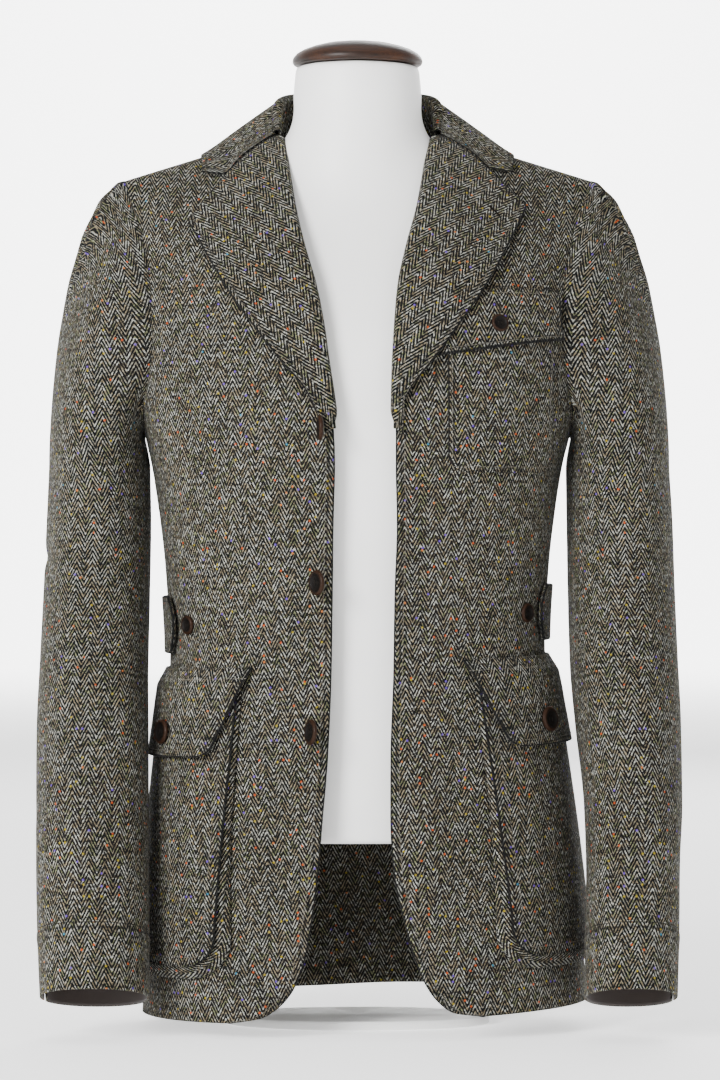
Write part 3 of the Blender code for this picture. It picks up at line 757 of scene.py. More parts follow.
@dataclass(frozen=True)
class Body:
    """Middle surface of fronts and back, with its soft folds."""

    chest: float = 545.0
    rise_top: float = 350.0
    hem_rise: float = -530.0
    square: float = 2.4
    tip: float = 206.0
    front_fill: tuple[float, float] = (0.4, 2.4)
    back_fill: tuple[float, float] = (0.6, 2.0)
    hitch: float = 6.0
    hitch_start: float = 30.0
    hitch_reach: float = 150.0
    rings: Table = sections(
        "level half front back shift",
        (12, 195, 140, 135, 7), (147, 184, 135, 130, 4), (287, 168, 128, 121, 1), (327, 163.5, 123, 109, 0),
        (397, 167, 124, 108, 0), (480, 177.5, 129, 116, 0), (522, 187, 131, 122, 0),
        (545, 194, 131, 124, 0),
    )
    ridge: Table = sections("x y z", (0, 10, 782), (72, 10, 782), (139, 6, 760.7), (206, 0, 739.4))
    nape: Table = sections(
        "x y z",
        (0, 66, 778), (30, 61, 778.4), (50, 48, 779.4), (62, 32, 780.6), (72, 11, 781.8), (139, 6, 760.7),
        (206, 0, 739.4),
    )
    folds: Table = sections(
        "x0 z0 x1 z1 width depth",
        (-84, 285, -87, 95, 13, 2.2), (-66, 250, -62, 70, 12, -1.4), (-140, 412, -62, 396, 15, -1.6),
        (-146, 440, -80, 470, 18, 1.4), (-150, 372, -95, 352, 10, -1.2), (-158, 560, -120, 470, 15, -2.2),
        (-170, 640, -140, 540, 16, 1.6), (150, 380, 88, 366, 12, -1.4), (140, 345, 70, 330, 12, 1.2),
        (60, 300, 54, 90, 14, 1.8), (86, 280, 84, 120, 11, -1.6), (168, 560, 176, 460, 12, -1.8),
        (150, 700, 120, 640, 16, 1.5),
    )

    @staticmethod
    def filled(out: Array, law: tuple[float, float]) -> Array:
        """How far a shoulder section has reached from the ridge to the chest."""
        return law[0] * out + (1 - law[0]) * out ** law[1]

    def turn_at(self, across: Array) -> Array:
        """Turn of a place of the front, from its share of the half width."""
        return np.arctan2(across, (1 - across**self.square) ** (1 / self.square)) * 2 / math.pi

    def skin(self, rings: Table, ridges: tuple[Table, Table], tip: float, turn: Array, rise: Array) -> Array:
        """Smooth skin through section tables, for the jacket or for the form inside it.

        Args:
            rings: Sections up to the chest line.
            ridges: Shoulder ridge in front and behind.
            tip: Half width at the shoulder.
            turn: Place round the body.
            rise: Height over the chest line.

        Returns:
            Points of the wearer's left, in millimetres.
        """
        across, ahead = oval(turn * math.pi / 2, self.square)
        facing = ahead > 0
        level = self.chest + np.minimum(rise, 0)
        lean = np.clip(rise, 0, self.rise_top) / self.rise_top * math.pi / 2
        up, out = np.sin(lean), np.cos(lean)
        half = column(rings, "half", level)
        x = (half + (tip - half) * up) * across
        depth = np.where(facing, column(rings, "front", level), column(rings, "back", level))
        ridge_y, ridge_z = (np.where(facing, *(column(ridge, axis, x) for ridge in ridges)) for axis in "yz")
        reach = np.where(facing, self.filled(out, self.front_fill), self.filled(out, self.back_fill))
        y = ridge_y + (-ahead * depth - ridge_y) * reach
        return np.stack([x, y, level + (ridge_z - self.chest) * up], -1)

    def plain(self, side: Side, turn: Array, rise: Array) -> Array:
        """Middle surface without folds.

        Args:
            side: Wearer's side.
            turn: Place round the body.
            rise: Height over the chest line.

        Returns:
            Points.
        """
        turn, rise = paired(turn, rise)
        points = self.skin(self.rings, (self.ridge, self.nape), self.tip, turn, rise)
        across, _ = oval(turn * math.pi / 2, self.square)
        below = self.chest - self.hitch_start - points[..., 2]
        lift = self.hitch * np.clip(below / self.hitch_reach, 0, 1)
        shift = column(self.rings, "shift", self.chest + np.minimum(rise, 0))
        x, z = side.value * points[..., 0] + shift, points[..., 2] + side.value * across * lift
        return np.stack([x, points[..., 1], z], -1)

    def normal(self, side: Side, turn: Array, rise: Array) -> Array:
        """Outward normal of the surface without folds.

        Args:
            side: Wearer's side.
            turn: Place round the body.
            rise: Height over the chest line.

        Returns:
            Unit vectors.
        """
        turn, rise = paired(turn, rise)
        high = np.minimum(rise + 0.5, self.rise_top)
        along = self.plain(side, turn + 1e-3, rise) - self.plain(side, turn - 1e-3, rise)
        upward = self.plain(side, turn, high) - self.plain(side, turn, high - 1.0)
        return unit(side.value * np.cross(along, upward))

    def fold(self, points: Array) -> Array:
        """Depth of the soft folds of the front and of the long soft waves of the back.

        Args:
            points: Points of the surface without folds.

        Returns:
            Depth at each point.
        """
        x, y, z = np.moveaxis(points, -1, 0)
        front, behind = np.clip(-y / 30, 0, 1), np.clip(y / 40, 0, 1)
        depth = np.zeros(x.shape)
        for *line, width, deep in zip(*self.folds.values()):
            depth += deep * crease(x, z, line, width) * front
        low = np.clip((300 - z) / 260, 0, 1)
        waves = np.sin(x / 24 + 0.6) * 2.6 + np.sin(x / 13.0) * 0.8
        hem = np.sin((x + y * 0.7) / 19.0) * 1.2
        return depth + waves * low * behind + hem * low**2 * front * 0.5

    def over(self, side: Side, turn: Array, rise: Array, lift: Array | float = 0.0) -> Array:
        """Points of the folded surface, moved out by the lift."""
        points = self.plain(side, turn, rise)
        return points + self.normal(side, turn, rise) * (lift + self.fold(points))[..., None]

    def place(self, side: Side, x: Array | float, z: Array | float) -> Pair:
        """Place on the surface of a point of the front as seen from ahead.

        Args:
            side: Wearer's side.
            x: Distance off the centre.
            z: Height.

        Returns:
            Turn and rise.
        """
        x, z = paired(x, z)
        level = np.minimum(z, self.chest)
        x = x - side.value * column(self.rings, "shift", level)
        up = np.clip((z - self.chest) / (column(self.ridge, "z", x) - self.chest), 0, 1)
        rise = np.where(z > self.chest, np.arcsin(up) * self.rise_top * 2 / math.pi, z - self.chest)
        half = column(self.rings, "half", level)
        return self.turn_at(np.clip(x / (half + (self.tip - half) * up), 0.0, 0.9995)), rise

    def grain(self, turn: Array, rise: Array, behind: bool = False) -> Array:
        """Length of cloth across and along the grain at places of the surface, in metres.

        Args:
            turn: Place round the body.
            rise: Height over the chest line.
            behind: True to count from the centre back.

        Returns:
            UV of each place.
        """
        turns, rises = np.linspace(0, 2, 161), np.linspace(self.hem_rise, self.rise_top, 111)
        points = self.plain(Side.LEFT, turns[None, :], rises[:, None])
        j = np.clip((np.asarray(rise) - rises[0]) / (rises[1] - rises[0]), 0, len(rises) - 1.001)
        i = np.clip(np.asarray(turn) / (turns[1] - turns[0]), 0, len(turns) - 1.001)
        j, i = np.broadcast_arrays(j, i)
        j0, i0 = j.astype(int), i.astype(int)
        fj, fi = j - j0, i - i0
        out = []
        zero_turn, zero_rise = len(turns) - 1 if behind else 0, int(np.searchsorted(rises, 0))
        for values in (lengths(points, 1, zero_turn), lengths(points, 0, zero_rise)):
            low = values[j0, i0] * (1 - fi) + values[j0, i0 + 1] * fi
            high = values[j0 + 1, i0] * (1 - fi) + values[j0 + 1, i0 + 1] * fi
            out.append(low * (1 - fj) + high * fj)
        return np.stack(out, -1) * MM

    def round_back(
        self, across: Array, turn: Array, rise: Array, lift: Array | float = 0.0
    ) -> Pair:
        """Piece that runs round the back from the right side to the left.

        Args:
            across: Place across the back, from -1 to 1.
            turn: Place round the body.
            rise: Height over the chest line.
            lift: How far it is moved out.

        Returns:
            Points in millimetres and UV in metres.
        """
        left, right = (self.over(side, turn, rise, lift) for side in Side)
        uv = self.grain(turn, rise, behind=True)
        uv[..., 0] *= np.where(across < 0, -1.0, 1.0)
        return np.where((across < 0)[None, :, None], right, left), uv


@dataclass
class Cloth:
    """One sewn piece: a grid of points with its UV, given its wall and rounded edges."""

    node: str
    points: Array
    uv: Array
    rests_on: str = "form_torso"
    sewn: str = ""
    # width of the painted shadow line along the free edges, in millimetres
    shadow: float = 0.9
    wall: float = CLOTH
    inside: Inside = Inside.TWEED
    outer_last: bool = False
    edge_bulge: float = 0.28
    edge_turn: float = 0.6

    def edge_distance(self) -> Array:
        """Distance of each point from the nearest edge that is turned and sewn, in metres.

        Returns:
            Distance at each point of the grid.
        """
        across, down = lengths(self.points, 1), lengths(self.points, 0)
        ways = {"first": across, "last": across[:, -1:] - across, "low": down, "high": down[-1:] - down}
        chosen = [ways[name] for name in self.sewn.split()]
        return np.min(chosen, axis=0) * MM if chosen else np.ones(across.shape)

    def outward(self) -> Pair:
        """Turn the grid so that its faces point away from the wearer.

        Returns:
            Normals and edge distances of the turned grid.
        """
        normal = unit(np.cross(np.gradient(self.points, axis=1), np.gradient(self.points, axis=0)))
        edge = self.edge_distance()
        away = self.points * [1.0, 1.0, 0.0]
        if self.inside is Inside.LINING:
            away = away - np.array([math.copysign(SLEEVE_AXIS, self.points[0, 0, 0]), 0.0, 0.0])
            away[..., 1] = 0
        look = np.s_[:, -1:] if self.outer_last else np.s_[:, :]
        if (normal[look] * away[look]).sum() < 0:
            grids = (self.points, self.uv, -normal, edge)
            self.points, self.uv, normal, edge = (grid[:, ::-1] for grid in grids)
        return normal, edge

    def build(self, finish: Finishes) -> None:
        """Make the piece, set it on its body and work out the cut size of its sheet.

        Args:
            finish: Materials of all pieces.
        """
        normal, edge = self.outward()
        rows, across = self.points.shape[:2]
        count = rows * across
        index = np.arange(count).reshape(rows, across)
        quads = np.stack([index[:-1, :-1], index[:-1, 1:], index[1:, 1:], index[1:, :-1]], -1).reshape(-1, 4)
        loop = np.concatenate([index[0, :-1], index[:-1, -1], index[-1, :0:-1], index[:0:-1, 0]])
        j, i = np.divmod(loop, across)
        core = index[np.clip(j, 1, rows - 2), np.clip(i, 1, across - 2)]
        middle = 2 * count + np.arange(len(loop))
        after, next_middle = np.roll(loop, -1), np.roll(middle, -1)
        front_rim = np.stack([after, loop, middle, next_middle], -1)
        back_rim = np.stack([next_middle, middle, loop + count, after + count], -1)
        faces = np.concatenate([quads, quads[:, ::-1] + count, front_rim, back_rim])
        spots, uv = self.points.reshape(-1, 3), self.uv.reshape(-1, 2)
        bulge = spots[loop] + unit(spots[loop] - spots[core]) * self.wall * self.edge_bulge
        half_wall = (normal * self.wall / 2).reshape(-1, 3)
        verts = np.concatenate([spots + half_wall, spots - half_wall, bulge]) * MM
        turned = uv[loop] + unit(uv[loop] - uv[core]) * self.wall * self.edge_turn * MM
        mesh = self.mesh(verts, faces, np.concatenate([uv, uv, turned]))
        mesh.materials.append(finish.tweed)
        mesh.materials.append(finish.lining if self.inside is Inside.LINING else finish.shaded_tweed)
        kinds = np.zeros(len(faces), np.int32)
        kinds[len(quads) : 2 * len(quads)] = 1
        mesh.polygons.foreach_set("material_index", kinds)
        edge = np.concatenate([edge.ravel(), np.ones(count), edge.ravel()[loop]])
        # rim is painted shadow: 1 at a free edge, falling to 0 at the shadow width
        for name, values in (("edge", edge), ("rim", 1.0 - edge / (self.shadow * MM))):
            mesh.attributes.new(name, "FLOAT", "POINT").data.foreach_set("value", values.astype(np.float32))
        self.declare(settle(mesh, self.node))

    def mesh(self, verts: Array, faces: Array, uv: Array) -> bpy.types.Mesh:
        """Mesh with UV and smooth shading, facing outwards.

        Args:
            verts: Points, in metres.
            faces: Four points for each face.
            uv: UV of each point.

        Returns:
            The mesh.
        """
        mesh = bpy.data.meshes.new(self.node + "_cloth")
        mesh.from_pydata(verts.tolist(), [], faces.tolist())
        corner = np.zeros(len(mesh.loops), np.int32)
        mesh.loops.foreach_get("vertex_index", corner)
        mesh.uv_layers.new(name="cloth").data.foreach_set("uv", uv[corner].astype(np.float32).ravel())
        mesh.polygons.foreach_set("use_smooth", np.ones(len(faces), bool))
        bm = bmesh.new()
        bm.from_mesh(mesh)
        if bm.calc_volume(signed=True) < 0:
            bmesh.ops.reverse_faces(bm, faces=bm.faces)
            bm.to_mesh(mesh)
        bm.free()
        mesh.update()
        return mesh

    def declare(self, thing: bpy.types.Object) -> None:
        """Work out the cut size of the sheet, without keeping or passing it on.

        Args:
            thing: The finished piece; not used.
        """
        points = self.points * MM
        diagonals = np.cross(points[1:, 1:] - points[:-1, :-1], points[1:, :-1] - points[:-1, 1:])
        area = float(np.linalg.norm(diagonals, axis=-1).sum() / 2)
        width, length = (float(np.ptp(self.uv[..., k])) for k in (0, 1))
        width = max(width, area / length * 1.01)


@dataclass
class Panels:
    """Fronts and back of the jacket."""

    finish: Finishes
    body: Body
    shoulder: float = 347.8
    seam: float = 0.3
    armhole_gap: float = 0.0016
    side_gap: float = 0.0006
    front_arm: int = 13
    back_arm: int = 8
    front: Table = sections(
        "edge_right edge_left edge_z seam rise",
        (108, 106, 17.5, 1.34, -524), (83.5, 83, 21.5, 1.34, -520), (67, 69.5, 31, 1.34, -512),
        (54.5, 58.5, 46, 1.34, -499), (46.3, 50, 66, 1.34, -479), (38.6, 38.8, 105, 1.34, -440),
        (33.2, 30.5, 147, 1.34, -398), (29.8, 28.4, 190, 1.335, -355), (25.5, 28.5, 240, 1.33, -305),
        (22.5, 31, 311, 1.31, -234), (21.5, 32, 377, 1.26, -168), (20.8, 34, 437, 1.19, -108),
        (19.5, 33, 487, 1.12, -56), (20.5, 33, 517, 1.06, -28), (23, 33.6, 537, 0.86, -20),
        (25.6, 34, 555, 0.74, 4), (29, 34.7, 577, 0.68, 30), (33.2, 36.5, 607, 0.65, 60),
        (40, 39.5, 642, 0.645, 95), (50.3, 47, 678, 0.66, 134), (57.5, 55.3, 709, 0.69, 172),
        (62, 60.3, 734, 0.725, 207), (66, 64.5, 759, 0.79, 251), (70, 70, 782, 0.9, 347.8),
    )
    back: Table = sections(
        "seam rise",
        (1.34, -524), (1.34, -479), (1.34, -398), (1.33, -305), (1.31, -234), (1.26, -168), (1.19, -108),
        (1.12, -56), (1.06, -28), (1.12, -20), (1.19, 4), (1.245, 30), (1.28, 60), (1.3, 95), (1.305, 134),
        (1.29, 172), (1.265, 207), (1.21, 251), (1.1, 347.8),
    )

    def edge(self, side: Side) -> Array:
        """Distance of the front's open edge from the centre, one value for each row."""
        return self.front["edge_" + side.label]

    def shoulder_gap(self, rise: Array) -> Array:
        """Step that keeps front and back apart along the shoulder seam."""
        return np.clip(rise / self.shoulder, 0, 1)[..., None] ** 8 * np.array([0.0, self.seam, 0.0])

    def side_seam(self, cut: Table, rows: Array, arm: int) -> Pair:
        """Turn of a panel's side seam and armhole, and the gap that is kept there."""
        return row(cut, "seam", rows), np.where(rows > arm + 0.5, self.armhole_gap, self.side_gap)

    def front_places(self, side: Side, across: Array, rows: Array) -> Pair:
        """Places over a front panel.

        Args:
            side: Wearer's side.
            across: Share of the way from the open edge to the side seam.
            rows: Rows of the front's table.

        Returns:
            Turn and rise.
        """
        edge_x = smooth(np.arange(len(self.front["rise"])), self.edge(side), rows)
        turn, rise = self.body.place(side, edge_x, row(self.front, "edge_z", rows))
        seam, gap = self.side_seam(self.front, rows, self.front_arm)
        rise = spread(rise, row(self.front, "rise", rows), across)
        return spread(turn, seam - gap, across), np.minimum(rise, self.shoulder)

    def build(self) -> None:
        """Make both fronts and the back."""
        rows, across = refine(len(self.front["rise"]), 6), np.linspace(0, 1, 84)
        for side in Side:
            turn, rise = self.front_places(side, across, rows)
            points = self.body.over(side, turn, rise) - self.shoulder_gap(rise)
            uv = self.body.grain(turn, rise)
            Cloth(f"front_{side.label}", points, uv, sewn="first low").build(self.finish)
        rows, across = refine(len(self.back["rise"]), 7), np.linspace(-1, 1, 141)
        seam, gap = self.side_seam(self.back, rows, self.back_arm)
        turn = 2 - np.abs(across) * (2 - seam - gap)[:, None]
        rise = np.broadcast_to(row(self.back, "rise", rows)[:, None], turn.shape)
        points, uv = self.body.round_back(across, turn, rise)
        Cloth("back", points + self.shoulder_gap(rise), uv, sewn="low").build(self.finish)


@dataclass
class Sewn:
    """Sub-assembly that is sewn to the panels."""

    finish: Finishes
    panels: Panels

    @property
    def body(self) -> Body:
        """Surface that the cloth lies on."""
        return self.panels.body


@dataclass
class Sleeves(Sewn):
    """Two-piece sleeves with their cuffs."""

    inner_seam: float = 188.0
    cuff_fall: float = 397.0
    cuff_end: float = 452.0
    cuff_seam: float = 0.15
    square: float = 2.2
    head_out: float = 0.48
    head_down: float = 1.35
    degree: float = 0.95
    rounds: int = 30
    shape: Table = sections(
        "fall level out_right in_right out_left in_left depth middle pitch seam",
        (0, 487, 270, 183.5, 273, 184.5, 76, 2, 0, 15), (50, 437, 272, 182.5, 275.7, 185, 73, -2, 0.03, 15),
        (110, 377, 274, 183, 277, 185.5, 69, -12, 0.1, 13),
        (170, 317, 276, 183.5, 278.5, 186.5, 64, -28, 0.18, 8),
        (220, 267, 277, 182.5, 279.5, 190, 60, -48, 0.24, 2),
        (290, 197, 276, 181, 279, 196.5, 55, -70, 0.27, -8),
        (340, 147, 275, 180, 276, 197.5, 52, -84, 0.27, -14),
        (397, 90, 273, 179, 274.4, 196, 49, -98, 0.27, -18),
        (452, 35, 269.8, 178.5, 272, 194.5, 48, -111, 0.27, -20),
    )
    folds: Table = sections(
        "side angle0 fall0 angle1 fall1 width depth",
        (-1, -20, 74, 42, 82, 7, -2.2), (-1, 40, 120, 120, 165, 15, -1.8), (-1, 60, 180, 140, 205, 14, 1.4),
        (-1, 35, 235, 120, 215, 12, -1.5), (-1, 10, 296, 62, 312, 8, -2.4), (-1, 20, 330, 75, 345, 9, 1.4),
        (-1, 40, 372, 100, 388, 8, -1.6), (-1, 62, 40, 66, 330, 16, 1.4), (-1, 112, 60, 108, 360, 15, -1.2),
        (1, 150, 110, 95, 150, 14, -1.8), (1, 140, 175, 70, 205, 13, 1.5),
        (1, 160, 225, 110, 236, 10, -1.7), (1, 150, 262, 95, 300, 12, -1.5),
        (1, 40, 318, 110, 334, 10, -1.3), (1, 30, 380, 90, 386, 8, -1.5), (1, 72, 40, 70, 330, 16, 1.4),
        (1, 122, 30, 118, 360, 14, -1.2), (-1, 250, 120, 330, 150, 16, -2.2),
        (-1, 230, 190, 320, 215, 16, 2), (1, 250, 120, 330, 150, 16, -2.2), (1, 230, 190, 320, 215, 16, 2),
    )

    def armhole(self, side: Side, angle: Array) -> Pair:
        """Armhole edge.

        Args:
            side: Wearer's side.
            angle: 0 at the shoulder, 90 in front, 180 under the arm, 270 behind.

        Returns:
            Turn and rise.
        """
        panels, share = self.panels, np.linspace(1, 0, 161)
        ends = []
        for cut, low in ((panels.front, panels.front_arm), (panels.back, panels.back_arm)):
            rows = low + (len(cut["rise"]) - 1 - low) * share
            turn, rise = row(cut, "seam", rows), row(cut, "rise", rows)
            run = lengths(panels.body.plain(side, turn, rise)[:, None], 0)[:, 0]
            ends.append((run / run[-1], turn, rise))
        front = angle <= 180
        part = np.where(front, angle, 360 - angle) / 180
        turn, rise = (np.where(front, *(np.interp(part, end[0], end[k]) for end in ends)) for k in (1, 2))
        return turn, rise

    def ring(self, side: Side, angle: Array, fall: Array) -> Array:
        """Point of the hanging sleeve.

        Args:
            side: Wearer's side.
            angle: Degrees round the sleeve.
            fall: Length below the arm.

        Returns:
            Points.
        """
        outer, inner = (column(self.shape, f"{way}_{side.label}", fall) for way in ("out", "in"))
        ahead, across = oval(np.radians(angle), self.square)
        forward = column(self.shape, "depth", fall) * ahead
        x = (outer + inner) / 2 + (outer - inner) / 2 * across
        y = column(self.shape, "middle", fall) - forward
        z = column(self.shape, "level", fall) + column(self.shape, "pitch", fall) * forward
        return np.stack([side.value * x, y, z], -1)

    def fold(self, side: Side, angle: Array, run: Array) -> Array:
        """Depth of the soft folds of a sleeve.

        Args:
            side: Wearer's side.
            angle: Degrees round the sleeve.
            run: Place along the sleeve.

        Returns:
            Depth at each place.
        """
        fall, round_it = run - 1, (np.mod(angle + 60, 360) - 60) * self.degree
        depth, scale = np.zeros(angle.shape), (self.degree, 1, self.degree, 1)
        for sign, *line, width, deep in zip(*self.folds.values()):
            if sign == side.value:
                depth += deep * crease(round_it, fall, np.multiply(line, scale), width)
        return depth * np.clip((self.cuff_fall - fall) / 14, 0, 1) * np.clip((run - 0.6) / 0.4, 0, 1)

    def point(self, side: Side, angle: Array, run: Array) -> Array:
        """Sleeve surface.

        Args:
            side: Wearer's side.
            angle: Degrees round the sleeve.
            run: 0 to 1 over the sleeve head, and then the fall below the arm plus 1.

        Returns:
            Points.
        """
        body = self.body
        angle, run = paired(angle, run)
        wrapped = np.mod(angle, 360)
        turn, rise = self.armhole(side, wrapped)
        normal = body.normal(side, turn, rise)
        swing = np.radians(wrapped)
        facing = np.cos(swing) ** 2
        start = body.plain(side, turn, rise) + normal * (0.9 + 0.5 * facing)[..., None]
        end = self.ring(side, wrapped, np.zeros_like(run))
        reach = np.linalg.norm(end - start, axis=-1, keepdims=True)
        leave = normal * (0.8 * (1 - facing))[..., None] + np.array([side.value, 0.0, -0.3])
        leave = unit(leave) * reach * self.head_out
        arrive = -UP * reach * self.head_down
        t = np.clip(run, 0, 1)[..., None]
        head = start * (1 + 2 * t) * (1 - t) ** 2 + end * t * t * (3 - 2 * t)
        head = head + leave * t * (1 - t) ** 2 - arrive * t * t * (1 - t)
        points = np.where(run[..., None] <= 1, head, self.ring(side, wrapped, np.maximum(run - 1, 0)))
        away = np.stack([side.value * np.cos(swing), -np.sin(swing), np.zeros_like(swing)], -1)
        return points + away * self.fold(side, wrapped, run)[..., None]

    def grain(self, side: Side, angle: Array, run: Array) -> Array:
        """Length of cloth round and along the sleeve, upright over the sleeve head.

        Args:
            side: Wearer's side.
            angle: Degrees round the sleeve.
            run: Place along the sleeve.

        Returns:
            UV in metres.
        """
        angles = np.arange(-30.0, 392.0, 2.0)
        rings = self.point(side, angles[None, :], np.maximum(run[:, :1], 1.0))
        round_it = lengths(rings, 1, int(np.searchsorted(angles, 90)))
        u = np.stack([np.interp(line, angles, around) for line, around in zip(angle, round_it)])
        v = 1.0 - run
        head = run[:, 0] < 1
        if head.any():
            ring, points = rings[0], self.point(side, angle[head], run[head])
            off = points - ring[::2].mean(axis=0)
            home = np.radians(angle[head])
            ahead, aside = -off[..., 1] / np.ptp(ring[:, 1]), off[..., 0] * side.value / np.ptp(ring[:, 0])
            swing = np.arctan2(ahead, aside)
            swing += 2 * math.pi * np.round((home - swing) / (2 * math.pi))
            u[head] = np.interp(np.degrees(swing), angles, round_it[0])
            v[head] = points[..., 2] - np.interp(angle[head], angles, ring[:, 2])
        return np.stack([u, v], -1) * MM

    def build(self) -> None:
        """Make the four sleeve pieces and both cuffs."""
        falls = np.linspace(0, self.cuff_fall - self.cuff_seam, 110)
        runs = np.concatenate([np.linspace(0, 1, 46)[:-1], 1 + falls])
        share = np.linspace(0, 1, 74)
        for side in Side:
            seam = column(self.shape, "seam", np.maximum(runs - 1, 0)) * np.clip(runs, 0, 1)
            gap = 0.2 + 0.4 * np.clip(1 - runs, 0, 1)
            inner = self.inner_seam
            spans = {Half.TOP: (seam + gap, inner - gap), Half.UNDER: (inner + gap, seam + 360 - gap)}
            for half, span in spans.items():
                angle = spread(*span, share)
                run = np.broadcast_to(runs[:, None], angle.shape)
                points = self.point(side, angle, run)
                uv = flatten(points, self.grain(side, angle, run), self.rounds)
                name = f"sleeve_{side.label}_{half.value}"
                Cloth(name, points, uv, f"front_{side.label}", inside=Inside.LINING).build(self.finish)
            self.cuff(side)

    def cuff(self, side: Side) -> None:
        """Make one cuff band, open at the vent that ends the hind seam.

        Args:
            side: Wearer's side.
        """
        falls = np.linspace(self.cuff_fall + self.cuff_seam, self.cuff_end, 26)
        share = ((falls - self.cuff_fall) / (self.cuff_end - self.cuff_fall))[:, None]
        vent = 0.6 + 4.0 * share**2
        start = column(self.shape, "seam", falls)[:, None] + vent
        angle = start + (360 - 2 * vent) * np.linspace(0, 1, 120)
        run = np.broadcast_to(1 + falls[:, None], angle.shape)
        points = self.point(side, angle, run)
        centre = self.ring(side, np.array([0.0, 180.0])[None, :], falls[:, None]).mean(axis=1, keepdims=True)
        swell = 0.55 * np.exp(-(((share - 0.12) / 0.1) ** 2)) - 0.5 * np.exp(-((share / 0.04) ** 2))
        points = points + unit((points - centre) * [1, 1, 0]) * swell[..., None]
        uv = self.grain(side, np.mod(angle + 25, 360) - 25, run) + np.array([0.0021, 0.0017])
        sleeve = f"sleeve_{side.label}_top"
        Cloth(f"cuff_{side.label}", points, uv, sleeve, "low", inside=Inside.LINING).build(self.finish)


